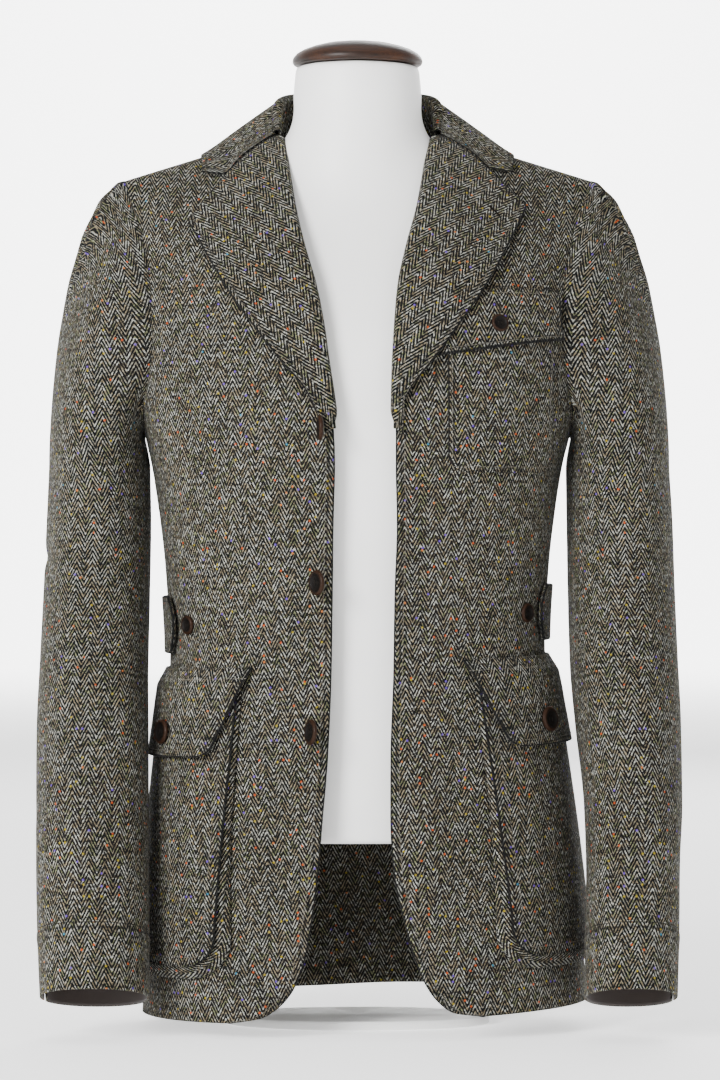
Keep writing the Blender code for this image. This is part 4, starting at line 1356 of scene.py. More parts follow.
@dataclass
class Lapels(Sewn):
    """Turned-back lapels and the collar that meets them at the gorge."""

    roll: float = 4.6
    roll_turn: float = 155.0
    lift: float = 6.0
    lift_start: float = 560.0
    lift_reach: float = 200.0
    belly: float = 0.7
    edge_curl: float = 1.8
    collar_roll: float = 3.6
    gorge_gap: float = 6.0
    gorge_start: float = 70.0
    pocket_z: float = 612.0
    pocket_lift: float = 5.4
    rounds: int = 120
    rows: Table = sections(
        "roll_z out_x out_z",
        (520, 30, 514), (538, 34, 533), (560, 44, 553), (590, 64, 577), (622, 85, 605), (655, 106, 635),
        (688, 123, 664), (720, 136, 688), (752, 143, 701), (776, 145, 706),
    )
    collar: Table = sections(
        "base_x base_y base_z fold_x fold_y fold_z out_x out_rise bulge",
        (68, 6, 781.5, 70.5, 3, 786, 134, 257, 0), (69.5, 10, 785, 71, 9, 800, 136, 310, 0.5),
        (70, 17, 785, 70, 17, 812, 131, 332, 1), (61, 34, 782.5, 63, 34, 819, 106, 296, 3),
        (38, 57, 781.5, 40, 57, 823, 60, 280, 4), (0, 66.5, 780.5, 0, 66.5, 824, 0, 267, 4),
    )
    gorge_rows: Table = sections("along share", (0.17, 0.2), (0.37, 0.43), (0.57, 0.66))

    def roll_line(self, side: Side, at: Array) -> tuple[Array, Array, Array]:
        """Roll line of a lapel.

        Args:
            side: Wearer's side.
            at: Rows of the lapel's table.

        Returns:
            Distance off the centre, turn and rise.
        """
        roll_z = row(self.rows, "roll_z", at)
        roll_x = smooth(self.panels.front["edge_z"], self.panels.edge(side), roll_z)
        return roll_x, *self.body.place(side, roll_x, roll_z)

    def places(self, side: Side, across: Array, at: Array) -> Places:
        """Places over a lapel.

        Args:
            side: Wearer's side.
            across: Share of the way from the roll line to the outer edge, below 0 on the roll.
            at: Rows of the lapel's table.

        Returns:
            Turn, rise and lift.
        """
        roll_x, turn_in, rise_in = self.roll_line(side, at)
        above = row(self.rows, "roll_z", at) - self.lift_start
        tilt = side.value * self.lift * np.clip(above / self.lift_reach, 0, 1)
        out_x, out_z = np.maximum(row(self.rows, "out_x", at), roll_x + 5), row(self.rows, "out_z", at)
        turn_out, rise_out = self.body.place(side, out_x, out_z + tilt)
        flat = np.clip(across, 0, 1)
        high = self.pocket_lift if side is Side.LEFT else 0.0
        pocket = np.exp(-(((out_z - self.pocket_z) / 62) ** 4)) * high
        rest = LAP + pocket[:, None] * np.clip(flat * 2.5, 0, 1)
        rest = rest + self.belly * np.sin(flat * math.pi) + self.edge_curl * flat**5
        rest = rest + (self.roll - LAP) * (1 - flat) ** 4
        return spread(turn_in, turn_out, flat), spread(rise_in, rise_out, flat), rest

    def lapel(self, side: Side, across: Array, at: Array) -> Array:
        """Lapel: a roll round the front's edge, then the flat part over the chest.

        Args:
            side: Wearer's side.
            across: Share of the way from the roll line to the outer edge, below 0 on the roll.
            at: Rows of the lapel's table.

        Returns:
            Points.
        """
        body = self.body
        _, turn_in, rise_in = self.roll_line(side, at)
        laid = body.over(side, *self.places(side, across, at))
        edge = body.over(side, turn_in, rise_in)[:, None]
        normal = body.normal(side, turn_in, rise_in)[:, None]
        inward = unit(body.plain(side, turn_in - 2e-3, rise_in) - body.plain(side, turn_in + 2e-3, rise_in))
        wrap = np.clip(at / 1.6, 0.2, 1)[:, None, None]
        swing = np.radians(90 + np.minimum(across, 0)[None, :, None] * self.roll_turn * wrap)
        rolled = edge + self.roll * (np.cos(swing) * inward[:, None] + np.sin(swing) * normal)
        return np.where((across < 0)[None, :, None], rolled, laid)

    def gorge(self, side: Side, along: float) -> Array:
        """Point of the seam between lapel and collar, just above the lapel's top edge.

        Args:
            side: Wearer's side.
            along: Share of the way from the neck to the lapel's tip.

        Returns:
            The point, in millimetres.
        """
        body = self.body
        roll_z, out_x, out_z = (values[-1] for values in self.rows.values())
        turn_in, rise_in = body.place(side, self.gorge_start, roll_z)
        turn_out, rise_out = body.place(side, out_x, out_z + side.value * self.lift)
        rise = rise_in + (rise_out - rise_in) * along + self.gorge_gap
        return body.over(side, turn_in + (turn_out - turn_in) * along, rise, LAP + 0.9)

    def stations(self, side: Side, at: Array) -> tuple[Array, Array, Array, Array]:
        """Stations round the collar.

        Args:
            side: Wearer's side.
            at: Rows of the collar's table.

        Returns:
            Base, fold and outer edge of the collar, and its bulge.
        """
        body = self.body
        base, fold = (
            np.stack([row(self.collar, f"{line}_{axis}", at) for axis in "xyz"], -1) * [side.value, 1, 1]
            for line in ("base", "fold")
        )
        ahead = np.append(at, [0, 1, 2])
        x, rise = row(self.collar, "out_x", ahead), row(self.collar, "out_rise", ahead)
        chest_half = body.rings["half"][-1]
        half_width = chest_half + (body.tip - chest_half) * np.sin(rise / body.rise_top * math.pi / 2)
        turn = body.turn_at(x / half_width)
        laid = body.over(side, np.where(ahead > 1.5, 2 - turn, turn), rise, LAP + 1.6)
        crossing = np.stack([smooth(np.arange(3), laid[-3:, i], at) for i in range(3)], -1)
        return base, fold, np.where((at < 2)[:, None], crossing, laid[:-3]), row(self.collar, "bulge", at)

    def collar_half(self, side: Side, across: Array, at: Array) -> Array:
        """One side of the collar, from the stand over the fold to the edge of the fall.

        Args:
            side: Wearer's side.
            across: -1 to 0 up the stand, 0 to 1 over the fold and 1 to 2 down the fall.
            at: Rows of the collar's table.

        Returns:
            Points.
        """
        base, fold, outer, bulge = self.stations(side, at)
        end = np.clip(1 - at, 0, 1)[:, None] ** 1.5
        away = unit((outer - base) * [1, 1, 0])[:, None]
        hub = fold[:, None] - UP * self.collar_roll
        w = across[None, :, None]
        swing = np.clip(w, 0, 1) * math.pi
        arc = hub + self.collar_roll * (UP * np.sin(swing) - away * np.cos(swing))
        stand = arc + (base[:, None] - arc) * np.clip(-w, 0, 1)
        edge = hub[:, 0] + self.collar_roll * away[:, 0]
        lines = [edge]
        for along, share in zip(*self.gorge_rows.values()):
            stop = edge + (outer - edge) * share + UP * bulge[:, None] * math.sin(share * math.pi)
            lines.append(stop + (self.gorge(side, along) - stop) * end)
        lines.append(outer)
        keys, fall = [0.0, *self.gorge_rows["share"], 1.0], np.clip(across - 1, 0, 1)
        drape = [[smooth(keys, axis, fall) for axis in station.T] for station in np.stack(lines, 1)]
        return np.where(w < 0, stand, np.where(w <= 1, arc, np.moveaxis(np.array(drape), 1, -1)))

    def build(self) -> None:
        """Make both lapels and the collar."""
        across = np.concatenate([np.linspace(-1, 0, 9)[:-1], np.linspace(0, 1, 44)])
        at = np.linspace(0, len(self.rows["out_x"]) - 1, 130)
        lean = math.atan2(*(self.rows[name][-1] - self.rows[name][2] for name in ("out_x", "out_z")))
        for side in Side:
            points = self.lapel(side, across, at)
            turn, rise, _ = self.places(side, across, at)
            flat = self.body.grain(turn, rise)
            flat[..., 0] += np.minimum(across, 0) * self.roll * math.radians(self.roll_turn) * MM
            u = flat[..., 0] * math.cos(lean) - flat[..., 1] * math.sin(lean)
            v = flat[..., 0] * math.sin(lean) + flat[..., 1] * math.cos(lean)
            uv = flatten(points, np.stack([u, v], -1), self.rounds)
            node, front = f"lapel_{side.label}", f"front_{side.label}"
            Cloth(node, points, uv, front, "last high", 1.5, outer_last=True).build(self.finish)
        stand, fold, fall = np.linspace(-1, 0, 12)[:-1], np.linspace(0, 1, 14), 1 + np.linspace(0, 1, 40)[1:]
        across = np.concatenate([stand, fold, fall])
        at = np.linspace(0, len(self.collar["bulge"]) - 1, 84)
        right = self.collar_half(Side.RIGHT, across, at)
        points = np.concatenate([right, self.collar_half(Side.LEFT, across, at[::-1][1:])])
        crest, middle = len(stand) + len(fold) // 2, len(across) - len(fall) // 2 - 1
        u = np.broadcast_to(lengths(points, 0)[:, middle, None], points.shape[:2])
        uv = np.stack([u, -lengths(points, 1, crest)], -1) * MM
        Cloth("collar", points, uv, "back", "last low high", 0.5, outer_last=True).build(self.finish)


@dataclass
class Pockets(Sewn):
    """Chest patch with its flap, bellows pockets with their flaps, and the half belt."""

    girth: float = 230.0
    corner_girth: float = 250.0
    mouth_stand: float = 6.5
    bellows: float = 8.0
    chest: Sizes = sizes(inner=77.0, outer=167.0, bottom=482.0, top=628.0, corner=16.0)
    chest_flap: Sizes = sizes(
        inner=67.0, outer=171.0, top=640.0, low=581.0, slope=0.146, stand=2.6, flare=4.0
    )
    pocket: Sizes = sizes(
        front=0.385, slant=0.03, back=1.10, top=-242.0, bottom=-480.0, corner=24.0
    )
    flap: Sizes = sizes(
        front=0.345, slant=0.115, back=1.12, top=-226.0, bottom=-302.0, corner=9.0, gap=1.2, flare=5.0
    )
    belt: Sizes = sizes(front=0.705, level=-188.0, half=24.0, wall=3.4, round=0.05, gap=1.4, lift=2.2)

    def chest_places(self, across: Array, down: Array) -> Places:
        """Places over the chest patch with its rounded lower corners.

        Args:
            across: Share of the way across.
            down: Share of the way down.

        Returns:
            Turn, rise and lift.
        """
        size = self.chest
        z = size["top"] + (size["bottom"] - size["top"]) * down
        inset = rounded(z - size["bottom"], size["corner"])
        x = spread(size["inner"] + inset, size["outer"] - inset, across)
        turn, rise = self.body.place(Side.LEFT, x, z[:, None])
        return turn, rise, np.full(turn.shape, LAP)

    def chest_flap_places(self, across: Array, down: Array) -> Places:
        """Places over the chest flap with its slanting lower edge.

        Args:
            across: Share of the way across.
            down: Share of the way down.

        Returns:
            Turn, rise and lift.
        """
        size = self.chest_flap
        x = size["inner"] + (size["outer"] - size["inner"]) * across
        low = size["low"] + size["slope"] * (x - size["inner"])
        z = size["top"] + (low - size["top"]) * down[:, None]
        turn, rise = self.body.place(Side.LEFT, x, z)
        stand = size["stand"] * np.clip(down * 5, 0, 1)[:, None]
        flare = size["flare"] * down[:, None] ** 3
        return turn, rise, LAP + stand + flare * np.clip(across * 2 - 0.6, 0, 1)

    def outline(self, size: Sizes, down: Array) -> tuple[Array, Array, Array]:
        """Edges of a lower pocket's face or flap down its length.

        Args:
            size: Sizes of the face or flap.
            down: Share of the way down.

        Returns:
            Turn of the front edge and of the back edge, and the rise.
        """
        rise = size["top"] + (size["bottom"] - size["top"]) * down
        inset = rounded(rise - size["bottom"], size["corner"]) / self.corner_girth
        return size["front"] + size["slant"] * down + inset, size["back"] - inset, rise

    def stand_off(self, turn: Array, down: Array) -> Array:
        """How far a lower pocket's face stands off the front."""
        swell = self.bellows * np.sin(np.clip(down, 0, 1) * math.pi / 2)
        return self.mouth_stand + swell * (1 - 0.8 * np.clip((turn - 0.5) / 0.3, 0, 1))

    def face(self, across: Array, down: Array) -> Places:
        """Places over a lower pocket's face.

        Args:
            across: Share of the way back.
            down: Share of the way down.

        Returns:
            Turn, rise and lift.
        """
        front, back, rise = self.outline(self.pocket, down)
        turn = spread(front, back, across)
        return turn, np.broadcast_to(rise[:, None], turn.shape), self.stand_off(turn, down[:, None])

    def gusset(self, along: Array, depth: Array) -> Places:
        """Places over the folded bellows round a lower pocket.

        Args:
            along: Share of the way round the pocket.
            depth: Share of the way from the face to the front.

        Returns:
            Turn, rise and lift.
        """
        steps, bottom = np.linspace(0, 1, 240), np.linspace(0, 1, 162)[1:-1]
        front, back, rise = self.outline(self.pocket, steps)
        turn = np.concatenate([front, front[-1] + (back[-1] - front[-1]) * bottom, back[::-1]])
        height = np.concatenate([rise, np.full(len(bottom), rise[-1]), rise[::-1]])
        down = np.concatenate([steps, np.ones(len(bottom)), steps[::-1]])
        run = np.concatenate([[0], np.cumsum(np.hypot(np.diff(turn) * self.girth, np.diff(height)))])
        turn, height, down = (np.interp(along * run[-1], run, values) for values in (turn, height, down))
        window = np.ones(9) / 9
        off = np.stack([np.gradient(height), -np.gradient(turn * self.girth)])
        off = np.stack([np.convolve(np.pad(way, 4, "edge"), window, "valid") for way in off])
        off_turn, off_rise = (off / np.hypot(*off))[..., None]
        q = depth[None, :]
        out = -1.2 + (2 + 9 * down**3)[:, None] * (q + 0.25 * np.sin(q * math.pi))
        face = self.stand_off(turn, down)[:, None] - CLOTH - 0.9
        turn, rise = turn[:, None] + off_turn * out / self.girth, height[:, None] + off_rise * out
        return turn, rise, face + (LAP - face) * q

    def flap_places(self, across: Array, down: Array) -> Places:
        """Places over a lower flap: slanting front end, flaring away from the body.

        Args:
            across: Share of the way back.
            down: Share of the way down.

        Returns:
            Turn, rise and lift.
        """
        front, back, rise = self.outline(self.flap, down)
        turn = spread(front, back, across)
        rise = np.broadcast_to(rise[:, None], turn.shape)
        reach = (rise - self.pocket["top"]) / (self.pocket["bottom"] - self.pocket["top"])
        clear = self.stand_off(turn, reach) + CLOTH + self.flap["gap"]
        flare = self.flap["flare"] * (1 - 0.6 * np.clip((turn - 0.5) / 0.3, 0, 1)) * down[:, None] ** 1.5
        hung = LAP + 0.5
        return turn, rise, hung + (clear - hung) * np.clip(down * 5.0, 0, 1)[:, None] + flare

    def sew_on(self, node: str, side: Side, places: Places, slip: tuple[float, float], shadow: float) -> None:
        """Make a patch or flap that lies on a front.

        Args:
            node: CAD node.
            side: Wearer's side.
            places: Turn, rise and lift.
            slip: How far its weave is off the front's, in metres.
            shadow: Width of the painted shadow line along its edges.
        """
        uv = self.body.grain(*places[:2]) + np.array(slip)
        points = self.body.over(side, *places)
        Cloth(node, points, uv, f"front_{side.label}", "first last high", shadow).build(self.finish)

    def build(self) -> None:
        """Make every pocket, gusset and flap, and the half belt."""
        narrow, wide = np.linspace(0, 1, 44), np.linspace(0, 1, 60)
        down = np.concatenate([np.linspace(0, 0.88, 50), 1 - 0.12 * np.linspace(1, 0, 26)[1:] ** 2])
        self.sew_on("chest_pocket", Side.LEFT, self.chest_places(narrow, down), (0.0022, 0.0013), 0.9)
        flap = self.chest_flap_places(narrow, np.linspace(0, 1, 32))
        self.sew_on("chest_flap", Side.LEFT, flap, (0.0041, 0.0025), 2.6)
        for side in Side:
            self.sew_on(f"pocket_{side.label}", side, self.face(wide, down), (0.0017, 0.0021), 2.0)
            bellows = self.gusset(np.linspace(0, 1, 260), np.linspace(0, 1, 9))
            points = self.body.over(side, *bellows)
            along = np.broadcast_to(lengths(points, 0)[:, 4:5], points.shape[:2])
            uv = np.stack([lengths(points, 1), along], -1) * MM
            Cloth(f"gusset_{side.label}", points, uv, f"front_{side.label}").build(self.finish)
            flap = self.flap_places(wide, np.linspace(0, 1, 34))
            self.sew_on(f"flap_{side.label}", side, flap, (0.0036, 0.0008), 2.2)
        self.half_belt()

    def half_belt(self) -> None:
        """Make the half belt round the back, with rounded ends that show at the waist."""
        size = self.belt
        across, up = np.linspace(-1, 1, 241), np.linspace(-1, 1, 25)
        front = size["front"] + size["round"] * up**2
        turn = 2 - np.abs(across)[None, :] * (2 - front)[:, None]
        rise = np.broadcast_to(size["level"] + size["half"] * up[:, None], turn.shape)
        ends = size["lift"] * np.clip((1.0 - turn) / 0.3, 0, 1) ** 2
        lift = CLOTH / 2 + size["wall"] / 2 + size["gap"] + ends
        points, uv = self.body.round_back(across, turn, rise, lift)
        uv = uv + np.array([0.0, 0.003])
        Cloth("back_belt", points, uv, "back", "first last low high", wall=size["wall"]).build(self.finish)


@dataclass
class Buttons(Sewn):
    """Horn buttons with four holes shown as near-black discs of painted shade, dished between them and a
    raised rim.
    """

    steps: int = 48
    front: tuple[tuple[str, float, float, float, float], ...] = (
        ("top", 28.5, 520, -80, 11.9),
        ("middle", 32.0, 390, -52, 8.7),
        ("bottom", 36.5, 263, -60, 8.7),
    )
    chest: Triple = (118.4, 608, 7.4)
    flap: tuple[tuple[Side, float, float], ...] = ((Side.LEFT, 0.63, 15.5), (Side.RIGHT, 0.68, 14.4))
    flap_rise: float = -281.0
    hole_off: float = 0.2
    hole_size: float = 0.13
    belt: Triple = (0.63, -188, 0.8)
    kinds: Table = sections("front chest flap belt", (11.0, 7.7, 11.0, 8.4), (4.4, 3.6, 4.4, 3.8))
    section: tuple[Triple, ...] = (
        (0, 0, 0.2), (0.62, 0, 0.3), (0.74, 0.04, 0.6), (0.94, 0.26, 1.0), (1.0, 0.46, 1.0),
        (0.985, 0.68, 1.0), (0.93, 0.88, 1.0), (0.86, 0.985, 0.9), (0.79, 1.0, 0.7), (0.71, 0.95, 0.4),
        (0.63, 0.80, 0.1), (0.54, 0.68, 0.0), (0.30, 0.61, 0.0), (0, 0.6, 0.0),
    )

    def frame(self, side: Side, turn: float, rise: float, lift: float, yaw: float = 0.0) -> Matrix:
        """Placement with local Z along the cloth's normal.

        Args:
            side: Wearer's side.
            turn: Place round the body.
            rise: Height over the chest line.
            lift: Distance out from the surface.
            yaw: Swing about the upright, in degrees.

        Returns:
            The placement, in millimetres.
        """
        normal = self.body.normal(side, turn, rise)
        point = self.body.plain(side, turn, rise) + normal * lift
        z = (Matrix.Rotation(math.radians(yaw), 3, "Z") @ Vector(normal)).normalized()
        x = Vector(UP).cross(z).normalized()
        return Matrix.Translation(point) @ Matrix((x, z.cross(x), z)).transposed().to_4x4()

    def make(self, node: str, kind: str, where: Matrix) -> None:
        """Turn one button, lay near-black discs of painted shade where its holes are, and lay its thread.

        Args:
            node: CAD node.
            kind: Column of the table of kinds.
            where: Placement, in millimetres.
        """
        radius, height = self.kinds[kind]
        bm = bmesh.new()
        rim = bm.verts.layers.float.new("rim")
        profile = [(radius * r, height * z) for r, z, _ in self.section]
        for ring, (_, _, share) in zip(revolve(bm, profile, self.steps, Matrix.Identity(4)), self.section):
            for vert in ring:
                vert[rim] = share
        bmesh.ops.recalc_face_normals(bm, faces=bm.faces)
        for face in bm.faces:
            face.smooth = True
        self.well_and_thread(bm, radius, height)
        bmesh.ops.transform(bm, matrix=where, verts=bm.verts)
        mesh = closed(bm, node + "_horn")
        for material in (self.finish.horn, self.finish.button_holes, self.finish.button_thread):
            mesh.materials.append(material)
        settle(mesh, node)

    def well_and_thread(self, bm: bmesh.types.BMesh, radius: float, height: float) -> None:
        """Add four near-black discs, painted shade where the holes are, and two strands of thread to a
        button's dished middle.

        Args:
            bm: Mesh of the button.
            radius: Radius of the button.
            height: Height of the button.
        """
        off, well = radius * self.hole_off, radius * self.hole_size
        for sx in (-1, 1):
            for sy in (-1, 1):
                spot = Matrix.Translation((sx * off, sy * off, height * 0.612))
                made = bmesh.ops.create_circle(bm, cap_ends=True, segments=14, radius=well, matrix=spot)
                for face in {f for v in made["verts"] for f in v.link_faces}:
                    # painted shade: the discs take the near-black hole material
                    face.material_index = 1
        for sx in (-1, 1):
            strand = Matrix.Diagonal((0.32, off * 1.05, 0.3, 1.0))
            place = Matrix.Translation((sx * off, 0, height * 0.63)) @ strand
            made = bmesh.ops.create_uvsphere(bm, u_segments=8, v_segments=6, radius=1.0, matrix=place)
            for face in {f for v in made["verts"] for f in v.link_faces}:
                face.material_index = 2
                face.smooth = True

    def build(self) -> None:
        """Make all buttons."""
        place = self.body.place
        for label, x, z, yaw, lift in self.front:
            where = self.frame(Side.RIGHT, *place(Side.RIGHT, x, z), lift, yaw)
            self.make(f"front_button_{label}", "front", where)
        x, z, lift = self.chest
        self.make("chest_button", "chest", self.frame(Side.LEFT, *place(Side.LEFT, x, z), lift))
        for side, turn, lift in self.flap:
            self.make(f"flap_button_{side.label}", "flap", self.frame(side, turn, self.flap_rise, lift))
            self.make(f"belt_button_{side.label}", "belt", self.frame(side, *self.belt))


@dataclass
class Stitching(Sewn):
    """Rows of stitches and worked buttonholes, laid by a node tree along lines on the cloth."""

    lapels: Lapels
    pockets: Pockets
    tree: bpy.types.GeometryNodeTree | None = None
    edge_inset: float = 6.0
    even: Sizes = sizes(Spacing=0.0034, Length=0.0025, Width=0.0007, Turn=0.0)
    worked: Sizes = sizes(Spacing=0.0008, Length=0.0017, Width=0.0008, Turn=math.pi / 2)
    front_holes: tuple[Triple, ...] = ((39.0, 54.0, 407.0), (39.5, 54.5, 279.0))
    slit: Sizes = sizes(across_in=0.635, across_out=0.775, row_in=7.31, row_out=7.14)

    def stitch_tree(self) -> bpy.types.GeometryNodeTree:
        """Tree that lays one stitch at each step of a line.

        Returns:
            The node group, with inputs for spacing, length, width, turn and thread.
        """
        tree = bpy.data.node_groups.new("stitch_rows", "GeometryNodeTree")
        face = tree.interface
        face.new_socket("Line", in_out="INPUT", socket_type="NodeSocketGeometry")
        for name, value in self.even.items():
            face.new_socket(name, in_out="INPUT", socket_type="NodeSocketFloat").default_value = value
        face.new_socket("Thread", in_out="INPUT", socket_type="NodeSocketMaterial")
        face.new_socket("Stitches", in_out="OUTPUT", socket_type="NodeSocketGeometry")
        kinds = {
            "start": "NodeGroupInput", "end": "NodeGroupOutput", "curve": "GeometryNodeMeshToCurve",
            "even": "GeometryNodeResampleCurve", "tangent": "GeometryNodeInputTangent",
            "align": "FunctionNodeAlignRotationToVector", "bead": "GeometryNodeMeshUVSphere",
            "size": "ShaderNodeCombineXYZ", "angle": "ShaderNodeCombineXYZ",
            "spin": "FunctionNodeRotateRotation", "lay": "GeometryNodeInstanceOnPoints",
            "real": "GeometryNodeRealizeInstances", "paint": "GeometryNodeSetMaterial",
        }
        nodes = {name: tree.nodes.new(kind) for name, kind in kinds.items()}
        nodes["even"].mode = "LENGTH"
        nodes["align"].axis = "X"
        nodes["spin"].rotation_space = "LOCAL"
        for name, value in (("Segments", 6), ("Rings", 4), ("Radius", 0.5)):
            nodes["bead"].inputs[name].default_value = value
        links = (
            ("start", "Line", "curve", "Mesh"), ("curve", 0, "even", "Curve"),
            ("start", "Spacing", "even", "Length"), ("tangent", 0, "align", "Vector"),
            ("start", "Length", "size", 0), ("start", "Width", "size", 1), ("start", "Width", "size", 2),
            ("start", "Turn", "angle", 2), ("align", 0, "spin", "Rotation"),
            ("angle", 0, "spin", "Rotate By"), ("even", 0, "lay", "Points"),
            ("bead", "Mesh", "lay", "Instance"), ("spin", 0, "lay", "Rotation"),
            ("size", 0, "lay", "Scale"), ("lay", 0, "real", 0), ("real", 0, "paint", "Geometry"),
            ("start", "Thread", "paint", "Material"), ("paint", 0, "end", 0),
        )
        for source, output, target, entry in links:
            tree.links.new(nodes[source].outputs[output], nodes[target].inputs[entry])
        return tree

    def sew(
        self, name: str, lines: list[Array], thread: Material, stitch: Sizes
    ) -> None:
        """Lay stitches along lines and keep them as one plain mesh.

        Args:
            name: Piece name.
            lines: Points of each line, in millimetres.
            thread: Thread material.
            stitch: Spacing, Length, Width and Turn.
        """
        verts, edges = [], []
        for line in lines:
            edges += [(len(verts) + i, len(verts) + i + 1) for i in range(len(line) - 1)]
            verts += (line * MM).tolist()
        mesh = bpy.data.meshes.new(name + "_lines")
        mesh.from_pydata(verts, edges, [])
        guide = placed(name + "_lines", mesh)
        self.tree = self.tree or self.stitch_tree()
        rows = guide.modifiers.new("Stitches", "NODES")
        rows.node_group = self.tree
        sockets = {s.name: s.identifier for s in self.tree.interface.items_tree if s.in_out == "INPUT"}
        for key, value in {**stitch, "Thread": thread}.items():
            rows[sockets[key]] = value
        settle(evaluated(guide, name))

    def on_face(self, side: Side, places: Places, step: float = THREAD_STEP) -> Array:
        """Points just over the face of a piece."""
        turn, rise, lift = places
        return self.body.over(side, turn, rise, lift + step)

    def edge_row(
        self, side: Side, places: Callable[[Array, Array], Places], low: float, inset: float
    ) -> Array:
        """Line just inside the front and lower edge of a pocket's face or flap.

        Args:
            side: Wearer's side.
            places: Method that gives the places over the piece.
            low: Share of the way down where the line turns back.
            inset: Share of the way back where the line runs down.

        Returns:
            Points of the line.
        """
        front = self.on_face(side, places(np.array([inset]), np.linspace(0.22, low, 80)))[:, 0]
        below = self.on_face(side, places(np.linspace(inset, 0.9, 120), np.array([low])))[0]
        return np.concatenate([front, below])

    def edge_rows(self, side: Side) -> list[Array]:
        """Lines along the open edge of a front and along its lapel.

        Args:
            side: Wearer's side.

        Returns:
            Points of both lines.
        """
        body = self.body
        turn, rise = self.panels.front_places(side, np.array([0.0, 1.0]), np.linspace(0.2, 12.6, 500))
        width = np.diff(body.grain(turn, rise)[:, :, 0])[:, 0]
        share = np.clip(self.edge_inset * MM / np.maximum(width, 1e-3), 0, 0.2)
        turn, rise = (way[:, 0] + (way[:, 1] - way[:, 0]) * share for way in (turn, rise))
        front = body.over(side, turn, rise, THREAD_STEP)
        inside, at = np.array([0.94]), np.linspace(0.4, 8.85, 300)
        turn, rise, _ = self.lapels.places(side, inside, at)
        lapel = self.lapels.lapel(side, inside, at) + body.normal(side, turn, rise) * THREAD_STEP
        return [front, lapel[:, 0]]

    def build(self) -> None:
        """Sew edges, pockets, flaps and buttonholes."""
        pockets = self.pockets
        across = np.linspace(0, 1, 160)
        rows = []
        for side in Side:
            rows.append(self.on_face(side, pockets.flap_places(across, np.array([0.13])), 1.2)[0])
            rows.append(self.edge_row(side, pockets.flap_places, 0.93, 0.06))
            rows.append(self.edge_row(side, pockets.face, 0.965, 0.05))
        patch = pockets.chest_places
        sides = self.on_face(Side.LEFT, patch(np.array([0.03, 0.97]), np.linspace(0.1, 0.9, 120)))
        rows += [*np.moveaxis(sides, 1, 0)]
        rows += [*self.on_face(Side.LEFT, patch(across, np.array([0.965])))]
        rows += [*self.on_face(Side.LEFT, pockets.chest_flap_places(across, np.array([0.1, 0.92])))]
        edges = [line for side in Side for line in self.edge_rows(side)]
        self.sew("edge_stitching", edges, self.finish.thread, self.even)
        self.sew("pocket_stitching", rows, self.finish.thread, self.even)
        self.buttonholes()

    def buttonholes(self) -> None:
        """Work the buttonholes of the left front and the slit of the left lapel."""
        body = self.body
        over, lines, pick = 1.1, [], np.arange(40)
        for x0, x1, z in self.front_holes:
            for step in (-0.9, 0.9):
                place = body.place(Side.LEFT, np.linspace(x0, x1, len(pick)), z + step)
                lines.append(body.over(Side.LEFT, *place, over))
        slit = self.slit
        across = np.linspace(slit["across_in"], slit["across_out"], len(pick))
        at = np.linspace(slit["row_in"], slit["row_out"], len(pick))
        turn, rise, lift = (way[pick, pick] for way in self.lapels.places(Side.LEFT, across, at))
        lines += [body.over(Side.LEFT, turn, rise + step, lift + over) for step in (-0.7, 0.7)]
        self.sew("buttonholes", lines, self.finish.button_thread, self.worked)


